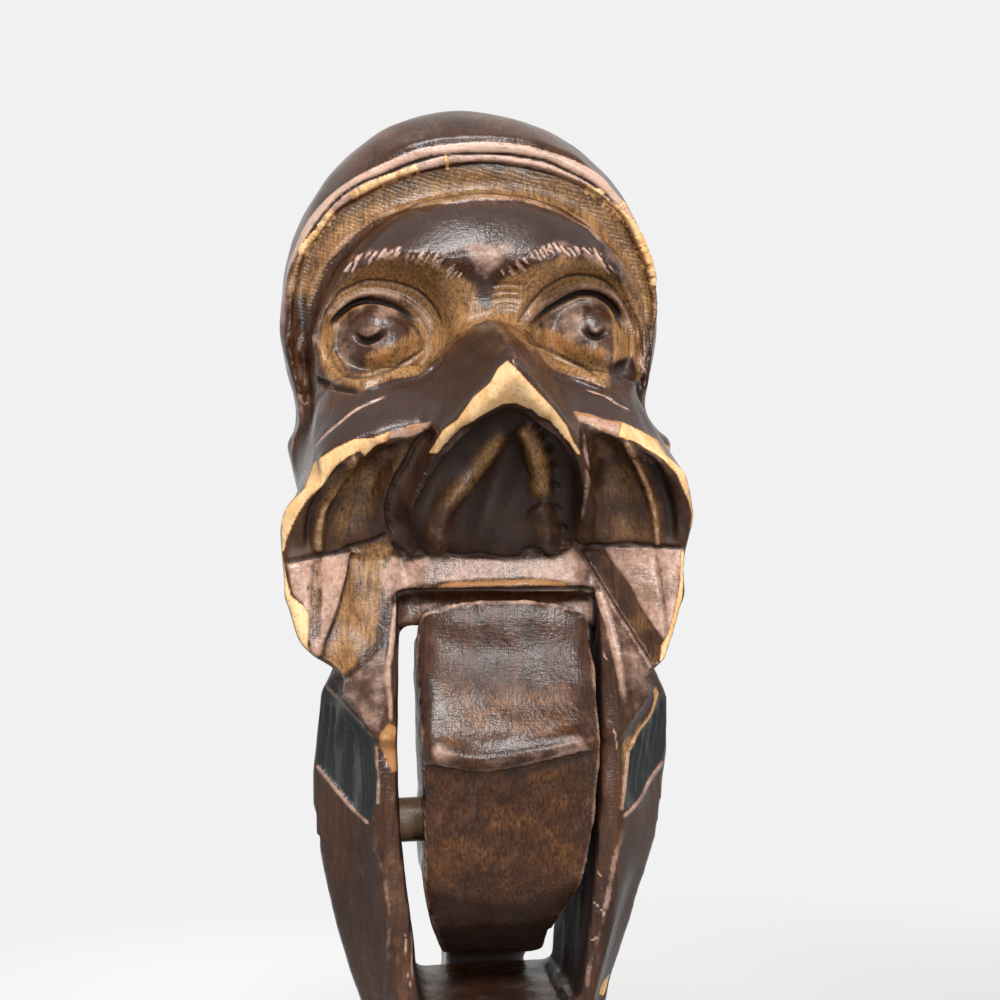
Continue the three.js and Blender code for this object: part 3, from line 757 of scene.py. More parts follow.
def noseAndWings(wood):
    for outline in (leftWingTop, rightWingTop, noseTop):
        wood.patch(outline, soft=10, dark=0.95, fresh=0)
    # painted shade: the downward-facing hollows under the nose and wings, and the nose's flank,
    # darkened
    wood.patch(noseHollow, soft=6, dark=0, grime=0.85, fresh=0.2)
    for outline in (leftHollow, rightHollow):
        wood.patch(outline, soft=6, dark=0, grime=0.55, fresh=0.3)
    wood.patch(noseFlankPatch, soft=8, dark=0.6, grime=0.3)
    for flute in noseFlutes:
        wood.stroke(flute, "soft", width=40, height=-1.0, fade=(0.15, 0.02))
    # painted shade on the ribs where they run down into the hollow
    wood.stroke(noseLeftRib, "soft", width=28, height=0.9, fade=(0.15, 0.02), grime=0.2, fresh=0.7)
    wood.stroke(noseLeftRib[2:], "soft", width=44, height=0.7, fade=(0.4, 0.02))
    wood.stroke(noseLeftRib[4:], "soft", width=26, height=0, fade=(0.4, 0), grime=0.5, fresh=0.2)
    wood.combed(noseLeftRib[2:], width=26, strength=0.12)
    wood.stroke(noseRightRib, "soft", width=30, height=1.3, fade=(0.12, 0.2), grime=0.1, fresh=1.0)
    wood.stroke(noseRightStub, "soft", width=34, height=1.2, fade=(0.12, 0.02), grime=0.55,
                fresh=0.3)
    wood.combed(noseRightStub, width=30, strength=0.12)
    # the peg holes are painted shadow
    for x, y in nosePegs:
        wood.stroke([(x - 2, y - 2), (x + 2, y + 2)], "soft", width=7, height=-0.7, fade=(0, 0),
                    grime=1.0)
    # painted shade in the flutes
    wood.stroke(leftFlute, "soft", width=56, height=-0.9, fade=(0.1, 0.02), grime=0.3, fresh=0.5)
    wood.stroke(rightFlute, "soft", width=50, height=-0.9, fade=(0.1, 0.02), grime=0.4, fresh=0.45)
    # painted shade in the grooves beside the ribs
    wood.stroke(leftRib, "soft", width=15, height=0.9, fade=(0.06, 0.02), grime=0.1, fresh=0.7)
    wood.stroke(leftRibGroove, "soft", width=13, height=-0.8, grime=0.8)
    wood.stroke(rightRib, "soft", width=12, height=0.9, fade=(0.06, 0.02), grime=0.1, fresh=0.7)
    wood.stroke(rightRibGroove, "soft", width=18, height=-0.9, grime=1.0)
    # a painted highlight along the arris
    wood.stroke(noseArris, "round", width=5, height=0.4, rub=0.5)
    # painted shade in the cut along the nose's flank
    wood.stroke(noseFlank, "vee", width=6, height=-0.6, grime=0.8)
    for outline in (noseRim, leftRim, rightRim):
        wood.patch(outline, soft=2.5, bare=1.0, grime=0, dark=0)
    for outline in (leftRimPink, rightRimPink):
        wood.patch(outline, soft=6, bare=0.35, rub=1.0)
    for line in cheekScratches:
        wood.stroke(line, "vee", width=3.2, height=-0.22, fade=(0.3, 0.15), rub=1.0)
    # painted shade in the creases
    for line in (leftCrease, midCrease, rightCrease):
        wood.stroke(line, "vee", width=6, height=-0.5, fade=(0.02, 0.02), grime=0.9)


# pixels: below the crease, left of the mouth
leftBarePanel = [(279, 534), (281, 562), (284, 590), (290, 618), (297, 643), (310, 667), (323, 675),
                 (314, 662), (308, 646), (309, 632), (309, 615), (304, 606), (292, 596), (288, 583),
                 (284, 562)]
leftPanelPink = [(286, 562), (352, 552), (347, 576), (339, 607), (330, 632), (322, 655), (313, 660),
                 (309, 640), (309, 612), (292, 594)]
leftStrip = [(313, 560), (322, 559), (322, 600), (320, 632), (311, 645), (309, 618)]
leftStripGroove = [(313, 560), (312, 580), (311, 606)]
leftChannel = [(352, 548), (348, 576), (340, 607), (330, 632), (322, 653), (316, 672)]
leftChannelGold = [(353, 552), (377, 542), (387, 535), (392, 548), (384, 575), (380, 610),
                   (376, 640), (357, 664), (342, 678), (322, 676), (325, 655), (333, 632),
                   (342, 607), (349, 576)]
leftLowerFacet = [(349, 678), (385, 645), (390, 690), (380, 732), (374, 734), (357, 716),
                  (343, 701), (332, 680)]
leftMouthStrip = [(398, 596), (394, 620), (391, 646), (388, 674), (390, 700), (391, 728)]
slotRimLeft = [(400, 640), (400, 680), (400, 720), (401, 745)]
leftCheekBare = [(398, 728), (388, 722), (380, 733), (378, 744), (384, 756), (391, 772), (397, 772),
                 (402, 775), (402, 728)]

# pixels: below the crease, right of the mouth
rightChannel = [(582, 547), (596, 572), (612, 599), (626, 621), (640, 643), (655, 668)]
rightChannelDark = [(583, 548), (602, 548), (615, 568), (629, 587), (641, 610), (653, 627),
                    (662, 640), (662, 653), (655, 667), (640, 643), (626, 621), (612, 599),
                    (597, 572)]
rightPanelPink = [(604, 548), (684, 548), (682, 580), (680, 606), (675, 632), (663, 640),
                  (653, 625), (641, 608), (629, 585), (615, 566)]
rightGroove = [(655, 553), (660, 583), (664, 611), (667, 638)]
rightBarePanel = [(684, 549), (684, 576), (681, 606), (676, 632), (669, 655), (660, 664),
                  (661, 645), (668, 634), (675, 610), (680, 580), (681, 552)]
rightInnerPink = [(578, 552), (590, 572), (606, 598), (622, 622), (636, 645), (652, 668),
                  (654, 690), (645, 714), (634, 720), (620, 680), (608, 640), (595, 600),
                  (575, 575)]
rightMouthStrip = [(597, 590), (606, 615), (616, 653), (622, 688), (628, 722)]
rightCheekBare = [(626, 738), (634, 734), (640, 722), (641, 735), (632, 760), (627, 790),
                  (622, 810), (620, 800), (623, 770), (622, 745)]
collarLineRight = [(655, 684), (655, 700), (648, 718), (638, 733), (630, 748)]
lipPanel = [(392, 556), (407, 560), (431, 556), (455, 558), (519, 560), (550, 558), (575, 548),
            (592, 575), (594, 586), (560, 582), (520, 578), (440, 582), (400, 590), (385, 600),
            (380, 575)]
lipWorn = [(430, 590), (445, 586), (470, 584), (500, 583), (535, 582), (575, 586)]
mouthStep = [(399, 640), (399, 600), (403, 592), (440, 591), (490, 590), (540, 589), (588, 589),
             (592, 597), (594, 640)]
palates = [[(399, 603), (438, 603), (424, 612), (413, 624), (412, 650), (399, 650)],
           [(556, 602), (592, 600), (593, 650), (586, 650), (584, 616), (572, 608)]]
slotFloor = [(417, 968), (426, 971), (448, 977), (480, 977), (524, 971), (547, 965), (585, 1010),
             (415, 1010)]


def panels(wood):
    wood.patch(leftPanelPink, soft=6, rub=0.95)
    wood.patch(leftStrip, soft=3, rub=0.2, fresh=0.5, dark=0.3)
    # painted shade in the groove
    wood.stroke(leftStripGroove, "vee", width=4, height=-0.4, grime=0.5)
    wood.stroke(leftChannel, "lapBack", width=46, height=-1.0, fade=(0.08, 0.2))
    wood.patch(leftChannelGold, soft=8, fresh=0.7, rub=0.1)
    wood.patch(leftLowerFacet, soft=5, dark=0.5, rub=0.5, fresh=0)
    # a painted highlight: the lit narrow facet beside the mouth painted lighter pink
    wood.stroke(leftMouthStrip, "soft", width=9, height=0.2, rub=0.9)
    wood.patch(leftBarePanel, soft=2.5, bare=1.0, rub=0)
    wood.patch(lipPanel, soft=8, rub=0.75)
    wood.patch(rightInnerPink, soft=20, rub=0.5)
    wood.patch(rightPanelPink, soft=6, rub=0.75)
    wood.stroke(rightChannel, "lapBack", width=24, height=-0.9, fade=(0.08, 0.1))
    # painted shade, slight, in the right channel
    wood.patch(rightChannelDark, soft=4, fresh=0.35, dark=0.3, rub=0, grime=0.1)
    wood.stroke(rightGroove, "vee", width=5, height=-0.45, fade=(0.1, 0.1), grime=0.6)
    # a painted highlight: the lit narrow facet beside the mouth painted lighter pink
    wood.stroke(rightMouthStrip, "soft", width=12, height=0.2, fade=(0.05, 0.5), rub=1.0)
    wood.patch(rightBarePanel, soft=2.5, bare=1.0, rub=0)
    wood.stroke(lipWorn, "soft", width=10, height=-0.15, bare=0.56, fresh=1.0)
    wood.stroke(slotRimLeft, "flat", width=7, height=0, bare=0.5, fresh=1.0)
    wood.patch(leftCheekBare, soft=6, bare=0.6, fresh=1.0)
    wood.patch(rightCheekBare, soft=6, bare=0.35, fresh=1.0)
    # painted shade under the mouth's step
    wood.stroke(mouthStep, "vee", width=6, height=-0.5, fade=(0, 0), grime=0.9, bare=0, rub=0)
    for outline in palates:
        wood.patch(outline, soft=6, rub=0.55, dark=0)


# pixels: the cheeks and their collar patches
leftPatch = [(324, 684), (334, 690), (346, 706), (358, 720), (374, 737), (376, 760), (378, 790),
             (376, 806), (371, 822), (352, 806), (334, 785), (318, 765), (316, 745), (318, 715),
             (321, 692)]
rightPatch = [(668, 686), (655, 700), (649, 716), (638, 730), (630, 752), (626, 780), (623, 812),
              (636, 800), (648, 778), (662, 758), (667, 735), (668, 705)]
leftPatchEdges = [[(326, 686), (342, 703), (358, 722), (374, 740)],
                  [(316, 764), (334, 787), (352, 808), (370, 825)],
                  [(376, 744), (378, 775), (378, 806)]]
rightPatchEdges = [[(657, 690), (652, 710), (640, 730), (629, 752)],
                   [(664, 760), (650, 780), (637, 802), (622, 818)],
                   [(628, 750), (625, 780), (621, 812)]]
leftPatchGrooves = [[(327, 700), (325, 730), (322, 760)], [(333, 702), (331, 740), (330, 775)],
                    [(341, 715), (340, 750), (341, 790)], [(350, 728), (350, 765), (352, 800)],
                    [(358, 735), (359, 770), (361, 808)], [(367, 742), (368, 780), (369, 815)]]
rightPatchGrooves = [[(663, 698), (660, 730), (654, 765)], [(657, 708), (653, 740), (646, 778)],
                     [(650, 722), (645, 755), (638, 792)], [(642, 733), (637, 765), (631, 800)],
                     [(635, 745), (631, 775), (627, 805)]]
leftCheekGold = [(374, 818), (398, 780), (404, 830), (407, 880), (410, 930), (409, 990), (402, 1010),
                 (385, 1010), (387, 969), (389, 929), (388, 900), (380, 866), (369, 831)]
leftCheekArris = [(369, 828), (380, 866), (388, 900), (389, 929), (387, 969), (385, 1010)]
rightCheekArris = [(626, 820), (615, 860), (607, 900), (599, 935), (589, 969), (585, 1010)]
nicks = [[(592, 903), (600, 906)], [(599, 906), (606, 917)], [(598, 870), (601, 878)],
         [(588, 941), (596, 938), (600, 935)], [(603, 651), (607, 662)], [(656, 663), (662, 665)],
         [(404, 928), (407, 957)],
         [(408, 970), (410, 991)], [(325, 700), (325, 750)], [(358, 735), (357, 774)],
         [(362, 783), (362, 800)], [(383, 748), (389, 774)], [(613, 722), (619, 758)]]
slotEdgeLeft = [(404, 800), (408, 860), (411, 920), (413, 999)]
creamChip = [(616, 972), (606, 985), (602, 997)]
slotKerf = [(547, 965), (556, 982), (565, 999)]


def cheeks(wood):
    aside = ease((np.abs(wood.normal[:, 0]) - 0.5) / 0.3) * ease((118 - wood.at[:, 2]) / 6)
    wood.tones["dark"] = np.maximum(wood.tones["dark"], aside)
    x = wood.at[:, 0]
    # painted shade on the slot's inner walls
    inner = ease((-wood.normal[:, 0] * np.sign(x) - 0.5) / 0.3) * ease((20 - np.abs(x)) / 3)
    wood.tones["grime"] = np.maximum(wood.tones["grime"], 0.7 * inner)
    wood.patch(leftCheekGold, soft=6, fresh=0.25)
    wood.stroke(leftCheekArris, "round", width=5, height=0.12, rub=0.35)
    wood.stroke(rightCheekArris, "round", width=6, height=0.12, rub=0.4)
    for outline in (leftPatch, rightPatch):
        wood.scoop(outline, depth=0.3, ramp=3)
        wood.patch(outline, soft=2.5, paint=1.0, fresh=0, rub=0)
    for line in leftPatchGrooves + rightPatchGrooves:
        wood.stroke(line, "vee", width=4.5, height=-0.3)
    for line in leftPatchEdges + rightPatchEdges:
        wood.stroke(line, "round", width=4.5, height=0.2, fade=(0.05, 0.05), rub=0.75, paint=0)
    wood.stroke(collarLineRight, "round", width=4.5, height=0.1, bare=0.85)
    # a painted highlight along the lit edge of the slot
    wood.stroke(slotEdgeLeft, "flat", width=3, height=0, rub=0.5)
    wood.stroke(creamChip, "flat", width=6, height=-0.2, bare=1.0)
    for line in nicks:
        wood.stroke(line, "flat", width=2.3, height=-0.1, fade=(0.4, 0.4), rub=1.0)
    # painted shade on the slot's floor and in the kerf beside it
    wood.patch(slotFloor, soft=4, rub=0.15, grime=0.35, dark=0.8)
    wood.stroke(slotKerf, "vee", width=5, height=-1.2, fade=(0, 0), grime=1.0)


# the marks of the knife down the handles and round the back
knifeSettings = {
    "across": (-34, 34),     # on the front and back
    "depths": (0, 56),       # on the left and right
    "length": (8, 22),
    "lean": (-2, 2),
    "width": (2.5, 7),
    "depth": (0.1, 0.3),
}


def knifeMarks(wood, seed, sides, count, low, high):
    s = knifeSettings
    random = np.random.default_rng(seed)
    for _ in range(count):
        side = sides[random.integers(len(sides))]
        across = random.uniform(*s["across" if side in ("front", "back") else "depths"])
        height = random.uniform(low, high)
        length = random.uniform(*s["length"])
        lean = random.uniform(*s["lean"])
        wood.gouge((across, height), (across + lean, height - length), side,
                   random.uniform(*s["width"]), random.uniform(*s["depth"]))


def carvedHead(s):
    print("carving the head")
    head = nodeCopy("carved_body", "carvedHead")
    applied(head, "REMESH", mode="VOXEL", voxel_size=s["voxel"] * mm)
    applied(head, "SMOOTH", factor=0.5, iterations=s["smoothRounds"])
    print("  remeshed", len(head.data.vertices))
    coarseCuts(Carving(head), s)
    applied(head, "REMESH", mode="VOXEL", voxel_size=s["voxel"] * mm)
    selectFaces(head, lambda c, n: (c[:, 1] < s["frontDepth"]) & (c[:, 2] > s["frontLow"])
                & (n[:, 1] < 0.3))
    bpy.ops.mesh.subdivide(number_cuts=1, smoothness=0)
    bpy.ops.object.mode_set(mode="OBJECT")
    applied(head, "SMOOTH", factor=0.5, iterations=2)
    print("  divided", len(head.data.vertices))

    wood = Carving(head)
    brimAndBrow(wood, browSettings)
    wood.settle()
    for eye in (leftEye, rightEye):
        carveEye(wood, eye)
    # painted shade in the wedge and the recess
    wood.stroke(leftWedge, "soft", width=10, height=-0.9, fade=(0.1, 0.2), grime=0.9)
    wood.patch(rightRecess, soft=8, dark=0.8, grime=0.35, fresh=0)
    wood.scoop(rightRecess, depth=0.4, ramp=8)
    noseAndWings(wood)
    panels(wood)
    cheeks(wood)
    knifeMarks(wood, seed=4, sides=("back", "left", "right"), count=150, low=15, high=188)
    knifeMarks(wood, seed=5, sides=("front", "left", "right"), count=40, low=8, high=60)
    wood.waver(height=s["waver"], wave=7, seed=3)
    wood.settle()
    proudOf, least, most = s["wornEdges"]
    worn = np.clip(wood.proud(6) / proudOf - least, 0, most) * (1 - wood.tones["grime"])
    wood.tones["rub"] = np.maximum(wood.tones["rub"], worn)
    # painted shade: the deeper a point lies below its surroundings, the darker it is painted, some
    # of it grime
    least, most = s["shadedGrimyHollows"]
    grime = np.clip(-wood.proud(50) - least, 0, most) * np.where(wood.seen > 0.5, 0.4, 0.7)
    wood.tones["grime"] = np.maximum(wood.tones["grime"], grime)
    wood.storeTones()
    wood.thinned(s["triangles"])
    print("  triangles", len(head.data.polygons))
    return head


# the chin, boss and lever handle, one block
jawSettings = {
    "voxel": 0.45,
    "smoothRounds": 6,
    "ridge": 0.9,
    "edgeReach": 30,         # pixels
    "edgeDepths": (-20, 26),
    "chinRounds": 40,
    "neckHigh": 80,          # the neck gets painted shade below this
    "neckLow": 40,
    "waver": 0.05,
    "wornEdges": (0.16, 0.35, 0.6),  # as for the head
    "triangles": 110000,
}

# pixels: the chin
chinTop = [(414, 622), (424, 612), (459, 602), (490, 600), (540, 602), (580, 610)]
chinRidge = [(418, 752), (450, 755), (480, 760), (515, 756), (545, 750), (575, 743), (598, 738)]
chinRight = [(592, 640), (597, 700), (599, 760), (596, 800), (591, 840), (581, 880), (568, 905),
             (555, 922), (545, 932), (535, 947), (524, 968), (515, 1000)]
chinLeft = [(449, 1000), (441, 960), (432, 930), (425, 905), (421, 860), (418, 800), (416, 740),
            (414, 680), (413, 640)]
chinStep = [(415, 766), (447, 768), (475, 773), (510, 769), (541, 763), (573, 755), (600, 750)]
chinUpper = [(414, 622), (430, 610), (459, 603), (490, 601), (540, 603), (580, 611), (590, 640),
             (598, 700), (600, 738), (560, 752), (510, 760), (460, 754), (420, 762), (414, 700)]
chinWarm = [(440, 680), (500, 690), (570, 680), (585, 720), (550, 742), (510, 748), (450, 742),
            (436, 720)]
chinLower = [(420, 770), (470, 764), (510, 768), (560, 758), (598, 745), (588, 810), (580, 890),
             (520, 905), (440, 890), (424, 850)]
chinNeck = [(430, 890), (520, 905), (582, 885), (560, 940), (525, 975), (425, 975)]


def jaw(s):
    print("carving the jaw")
    lever = nodeCopy("jaw_lever", "jawLever")
    applied(lever, "REMESH", mode="VOXEL", voxel_size=s["voxel"] * mm)
    applied(lever, "SMOOTH", factor=0.5, iterations=s["smoothRounds"])
    wood = Carving(lever)
    for points in (chinRight, chinLeft):
        wood.edged(points, reach=s["edgeReach"], depths=s["edgeDepths"], fade=(0.08, 0.08),
                   limit=30)
    wood.settle()
    soft = np.zeros(len(wood.at))
    near, inside = wood.within(chinUpper + chinLower[3:-1], 10)
    soft[near] = 0.9 * wood.seen[near]
    wood.relax(soft, rounds=s["chinRounds"])
    wood.look()
    wood.stroke(chinRidge, "soft", width=40, height=s["ridge"], fade=(0.12, 0.12))
    wood.stroke(chinRidge[:4], "soft", width=14, height=0, fade=(0.2, 0.4), rub=0.25)
    wood.stroke(chinRidge[3:], "soft", width=14, height=0, fade=(0.3, 0.1), rub=0.35)
    # a painted shadow in the step under the chin's ridge
    wood.stroke(chinStep, "lap", width=18, height=-0.6, fade=(0.08, 0.08), grime=0.4)
    wood.stroke(chinTop, "soft", width=26, height=0.2)
    wood.patch(chinUpper, soft=10, dark=0.35)
    wood.patch(chinWarm, soft=30, fresh=0.45, dark=0)
    wood.patch(chinLower, soft=10, fresh=0.3)
    # painted shade: the chin's underside and the neck darkened
    wood.patch(chinNeck, soft=14, grime=0.7, fresh=0)
    # painted shade on the neck between these heights, more where it faces down and back
    depth, z = wood.at.T[1:]
    neck = ease((s["neckHigh"] - z) / 8) * ease((z - s["neckLow"]) / 10)
    wood.tones["dark"] = np.maximum(wood.tones["dark"], neck)
    wood.tones["grime"] = np.maximum(wood.tones["grime"], 0.7 * neck * ease((depth - 2) / 4)
                                     * ease((-0.3 - wood.normal[:, 1]) / 0.4))
    knifeMarks(wood, seed=8, sides=("back", "left", "right"), count=90, low=12, high=90)
    wood.waver(height=s["waver"], wave=6, seed=9)
    wood.settle()
    proudOf, least, most = s["wornEdges"]
    worn = np.clip(wood.proud(6) / proudOf - least, 0, most)
    wood.tones["rub"] = np.maximum(wood.tones["rub"], worn)
    # painted shade in the lever's hollows, with some grime
    wood.tones["grime"] = np.maximum(wood.tones["grime"], np.clip(-wood.proud(50), 0, most))
    wood.storeTones()
    wood.thinned(s["triangles"])
    print("  triangles", len(lever.data.polygons))
    return lever


# the pin through both cheeks, whittled round and sawn off at its ends
dowelSettings = {
    "sides": 40,
    "sunk": 1.2,             # how far its ends lie inside the cheeks
    "chamfer": 0.5,
    "endSteps": (1.2, 2.4),  # insets of the end faces
    "dome": 0.16,
    "waver": 0.05,
}


def dowel(s):
    print("whittling the dowel")
    bpy.ops.object.select_all(action="DESELECT")
    centre = (dowelLow + dowelHigh) / 2
    half = (dowelHigh.x - dowelLow.x) / 2 - (s["sunk"] + s["dome"] * len(s["endSteps"])) * mm
    bpy.ops.mesh.primitive_cylinder_add(vertices=s["sides"], radius=(dowelHigh.z - dowelLow.z) / 2,
                                        depth=2 * half, location=centre,
                                        rotation=(0, math.pi / 2, 0))
    pin = frozen(bpy.context.object)
    pin.name = "pivotDowel"
    applied(pin, "BEVEL", width=s["chamfer"] * mm, segments=2, limit_method="ANGLE")
    for side in (-1, 1):
        selectFaces(pin, lambda centres, normals: normals[:, 0] * side > 0.99)
        for inset in s["endSteps"]:
            bpy.ops.mesh.inset(thickness=inset * mm)
            bpy.ops.transform.translate(value=(side * s["dome"] * mm, 0, 0))
        bpy.ops.mesh.poke()
        bpy.ops.object.mode_set(mode="OBJECT")
    applied(pin, "SUBSURF", levels=2, render_levels=2)
    wood = Carving(pin)
    wood.waver(height=s["waver"], wave=5, seed=12)
    wood.waver(height=s["waver"] / 3, wave=1.6, seed=13)
    wood.settle()
    end = ease((np.abs(wood.normal[:, 0]) - 0.7) / 0.2)
    edge = np.clip(wood.proud(4) / 0.05, 0, 1)
    # painted shade: the ends' edges and the shaft inside the cheeks darkened
    wood.tones["grime"] = np.maximum(0.45 * ease((edge - 0.2) / 0.5) * end, 0.3 * (1 - end))
    wood.tones["rub"] = 0.25 * end
    wood.storeTones()
    return pin


# node trees

class Tree:
    def __init__(self, owner):
        owner.use_nodes = True
        self.tree = owner.node_tree
        self.shader = self.tree.nodes.get("Principled BSDF")
        self.output = self.tree.nodes.get("Material Output") or self.tree.nodes["World Output"]

    def node(self, kind, inputs=None, **settings):
        made = self.tree.nodes.new(kind)
        for key, value in settings.items():
            setattr(made, key, value)
        for key, value in (inputs or {}).items():
            self.feed(made.inputs[key], value)
        return made

    def feed(self, socket, value):
        if isinstance(value, bpy.types.NodeSocket):
            self.tree.links.new(value, socket)
        else:
            socket.default_value = value

    def where(self, scale=(1, 1, 1), turn=(0, 0, 0)):
        coordinates = self.node("ShaderNodeTexCoord").outputs["Object"]
        return self.node("ShaderNodeMapping", {"Vector": coordinates, "Scale": scale,
                                               "Rotation": turn}).outputs[0]

    def noise(self, scale, detail=3, rough=0.5, stretch=(1, 1, 1), distort=0):
        return self.node("ShaderNodeTexNoise", {"Vector": self.where(stretch), "Scale": scale,
                                                "Detail": detail, "Roughness": rough,
                                                "Distortion": distort}).outputs["Fac"]

    def math(self, operation, a, b=0.0, clamp=False):
        return self.node("ShaderNodeMath", {0: a, 1: b}, operation=operation,
                         use_clamp=clamp).outputs[0]

    def times(self, a, b):
        return self.math("MULTIPLY", a, b)

    def plus(self, a, b):
        return self.math("ADD", a, b)

    def span(self, value, low, high, toLow=0.0, toHigh=1.0):
        return self.node("ShaderNodeMapRange", {"Value": value, "From Min": low, "From Max": high,
                                                "To Min": toLow, "To Max": toHigh},
                         interpolation_type="SMOOTHSTEP").outputs[0]

    def mix(self, amount, a, b, blend="MIX"):
        made = self.node("ShaderNodeMix", data_type="RGBA", blend_type=blend)
        self.feed(made.inputs["Factor"], amount)
        self.feed(made.inputs[6], a)
        self.feed(made.inputs[7], b)
        return made.outputs[2]

    def tone(self, name):
        return self.node("ShaderNodeAttribute", attribute_name=name).outputs["Fac"]


def colour(red, green, blue):
    return (red, green, blue, 1)


woodColours = {
    "deep": colour(0.020, 0.007, 0.004),
    "stain": colour(0.078, 0.029, 0.011),
    "plum": colour(0.036, 0.020, 0.016),
    "gold": colour(0.42, 0.215, 0.080),
    "goldDark": colour(0.105, 0.048, 0.017),
    "pink": colour(0.66, 0.43, 0.33),
    "pinkDark": colour(0.30, 0.155, 0.105),
    "orange": colour(0.40, 0.175, 0.060),
    "tan": colour(0.80, 0.45, 0.18),
    "cream": colour(0.93, 0.64, 0.34),
    # near black, for painted shade with some grime
    "grime": colour(0.008, 0.003, 0.002),
    "paint": colour(0.012, 0.015, 0.014),
    "paintWorn": colour(0.055, 0.060, 0.052),
}

woodFinish = {
    "combPitch": 2.8,        # pixels between tool marks
    "pores": (0.60, 0.68),
    "cloudiness": 0.45,
    "speckle": 0.4,          # of the golden wood, against its long fibres
    "roughness": (0.19, 0.33),
    "bumpDepth": 0.14,
    "combDepth": 0.06,
    "specular": 0.28,
}

# the lever is of a redder wood with long dark pores
jawColours = dict(woodColours, deep=colour(0.022, 0.006, 0.002), stain=colour(0.085, 0.028, 0.008),
                  gold=colour(0.32, 0.135, 0.045), goldDark=colour(0.110, 0.038, 0.009))
jawFinish = dict(woodFinish, pores=(0.53, 0.60), cloudiness=0.15, speckle=0.1)


def stainedWood(name, c, f):
    material = bpy.data.materials.new(name)
    t = Tree(material)
    grain = t.noise(420, 4, 0.6, (1, 1, 0.07))
    pores = t.noise(3200, 2, 0.5, (1, 1, 0.10))
    ripple = t.noise(1500, 2, 0.5, (0.5, 1, 2.6))
    cloud = t.noise(60, 4, 0.6)
    blotch = t.noise(260, 4, 0.6)
    speck = t.noise(1900, 3, 0.6)
    pebble = t.noise(900, 3, 0.65)
    comb = t.math("SINE", t.plus(t.times(t.tone("comb"), 2 * math.pi / f["combPitch"]),
                                 t.plus(t.times(blotch, 9.0), t.times(pebble, 5.0))))
    combing = t.times(t.times(comb, t.span(speck, 0.3, 0.6, 0.25, 1.0)), t.tone("combing"))

    fibre = t.noise(2400, 3, 0.6, (1, 1, 0.035))
    smudge = t.noise(330, 4, 0.65, (1, 1, 0.4))
    shade = t.plus(t.times(cloud, f["cloudiness"]),
                   t.times(t.plus(grain, fibre), (1 - f["cloudiness"]) / 2))
    base = t.mix(t.span(shade, 0.38, 0.6), c["deep"], c["stain"])
    base = t.mix(t.times(t.span(smudge, 0.55, 0.72), 0.22), base, c["pinkDark"])
    base = t.mix(t.times(t.tone("dark"), 0.85), base, c["plum"])
    fleck = t.plus(t.times(fibre, 1 - f["speckle"]), t.times(speck, f["speckle"]))
    goldWood = t.mix(t.span(fleck, 0.28, 0.68), c["goldDark"], c["gold"])
    gold = t.plus(t.tone("fresh"), t.span(blotch, 0.3, 0.75, -0.25, 0.2))
    base = t.mix(t.span(gold, 0.1, 0.95), base, goldWood)
    base = t.mix(t.times(t.span(pores, *f["pores"]), 0.7), base, c["deep"])
    pinkWood = t.mix(t.span(t.plus(t.times(pebble, 0.5), t.times(speck, 0.5)), 0.28, 0.7),
                     c["pinkDark"], c["pink"])
    # worn varnish painted lighter pink; in a few places this tone is a painted highlight
    rub = t.plus(t.tone("rub"), t.span(blotch, 0.3, 0.7, -0.3, 0.15))
    base = t.mix(t.times(t.span(rub, 0.1, 0.9), 0.9), base, pinkWood)
    base = t.mix(t.times(t.span(rub, 0.95, 1.4), 0.8), base, c["pink"])
    base = t.mix(t.times(t.span(combing, 0.0, 1.0), 0.4), base, c["pink"])
    base = t.mix(t.times(t.span(combing, 0.0, -1.0), 0.5), base, c["deep"])
    ragged = t.plus(t.tone("bare"), t.plus(t.span(blotch, 0.3, 0.7, -0.12, 0.12),
                                           t.span(speck, 0.3, 0.7, -0.06, 0.06)))
    bareMask = t.span(ragged, 0.46, 0.56)
    bareWood = t.mix(t.span(grain, 0.3, 0.7), c["tan"], c["cream"])
    bareWood = t.mix(t.times(t.span(speck, 0.52, 0.68), 0.45), bareWood, c["orange"])
    bareWood = t.mix(t.span(ragged, 0.55, 0.95), c["orange"], bareWood)
    base = t.mix(t.span(ragged, 0.38, 0.5), base, c["orange"])
    base = t.mix(bareMask, base, bareWood)
    paintMask = t.span(t.plus(t.tone("paint"), t.span(blotch, 0.3, 0.7, -0.1, 0.1)), 0.42, 0.58)
    paint = t.mix(t.span(grain, 0.5, 0.7), c["paint"], c["paintWorn"])
    base = t.mix(paintMask, base, paint)
    # painted shade with some grime: darkened towards near black where that tone is high
    base = t.mix(t.times(t.tone("grime"), 0.9), base, c["grime"])
    t.feed(t.shader.inputs["Base Color"], base)

    low, high = f["roughness"]
    rough = t.plus(t.span(blotch, 0.2, 0.8, low, high), t.times(bareMask, 0.3))
    rough = t.plus(rough, t.times(t.tone("grime"), 0.4))
    t.feed(t.shader.inputs["Roughness"], rough)
    height = t.plus(t.plus(t.times(pebble, 0.4), t.times(fibre, 0.15)),
                    t.plus(t.times(speck, 0.3), t.times(ripple, 0.2)))
    bump = t.node("ShaderNodeBump", {"Strength": 1.0, "Distance": f["bumpDepth"] * mm,
                                     "Height": height})
    lines = t.node("ShaderNodeBump", {"Strength": 1.0, "Distance": f["combDepth"] * mm,
                                      "Height": combing, "Normal": bump.outputs[0]})
    t.feed(t.shader.inputs["Normal"], lines.outputs[0])
    t.shader.inputs["Specular IOR Level"].default_value = f["specular"]
    return material


def dress(piece, material):
    piece.data.materials.clear()
    piece.data.materials.append(material)
    piece.data.shade_smooth()


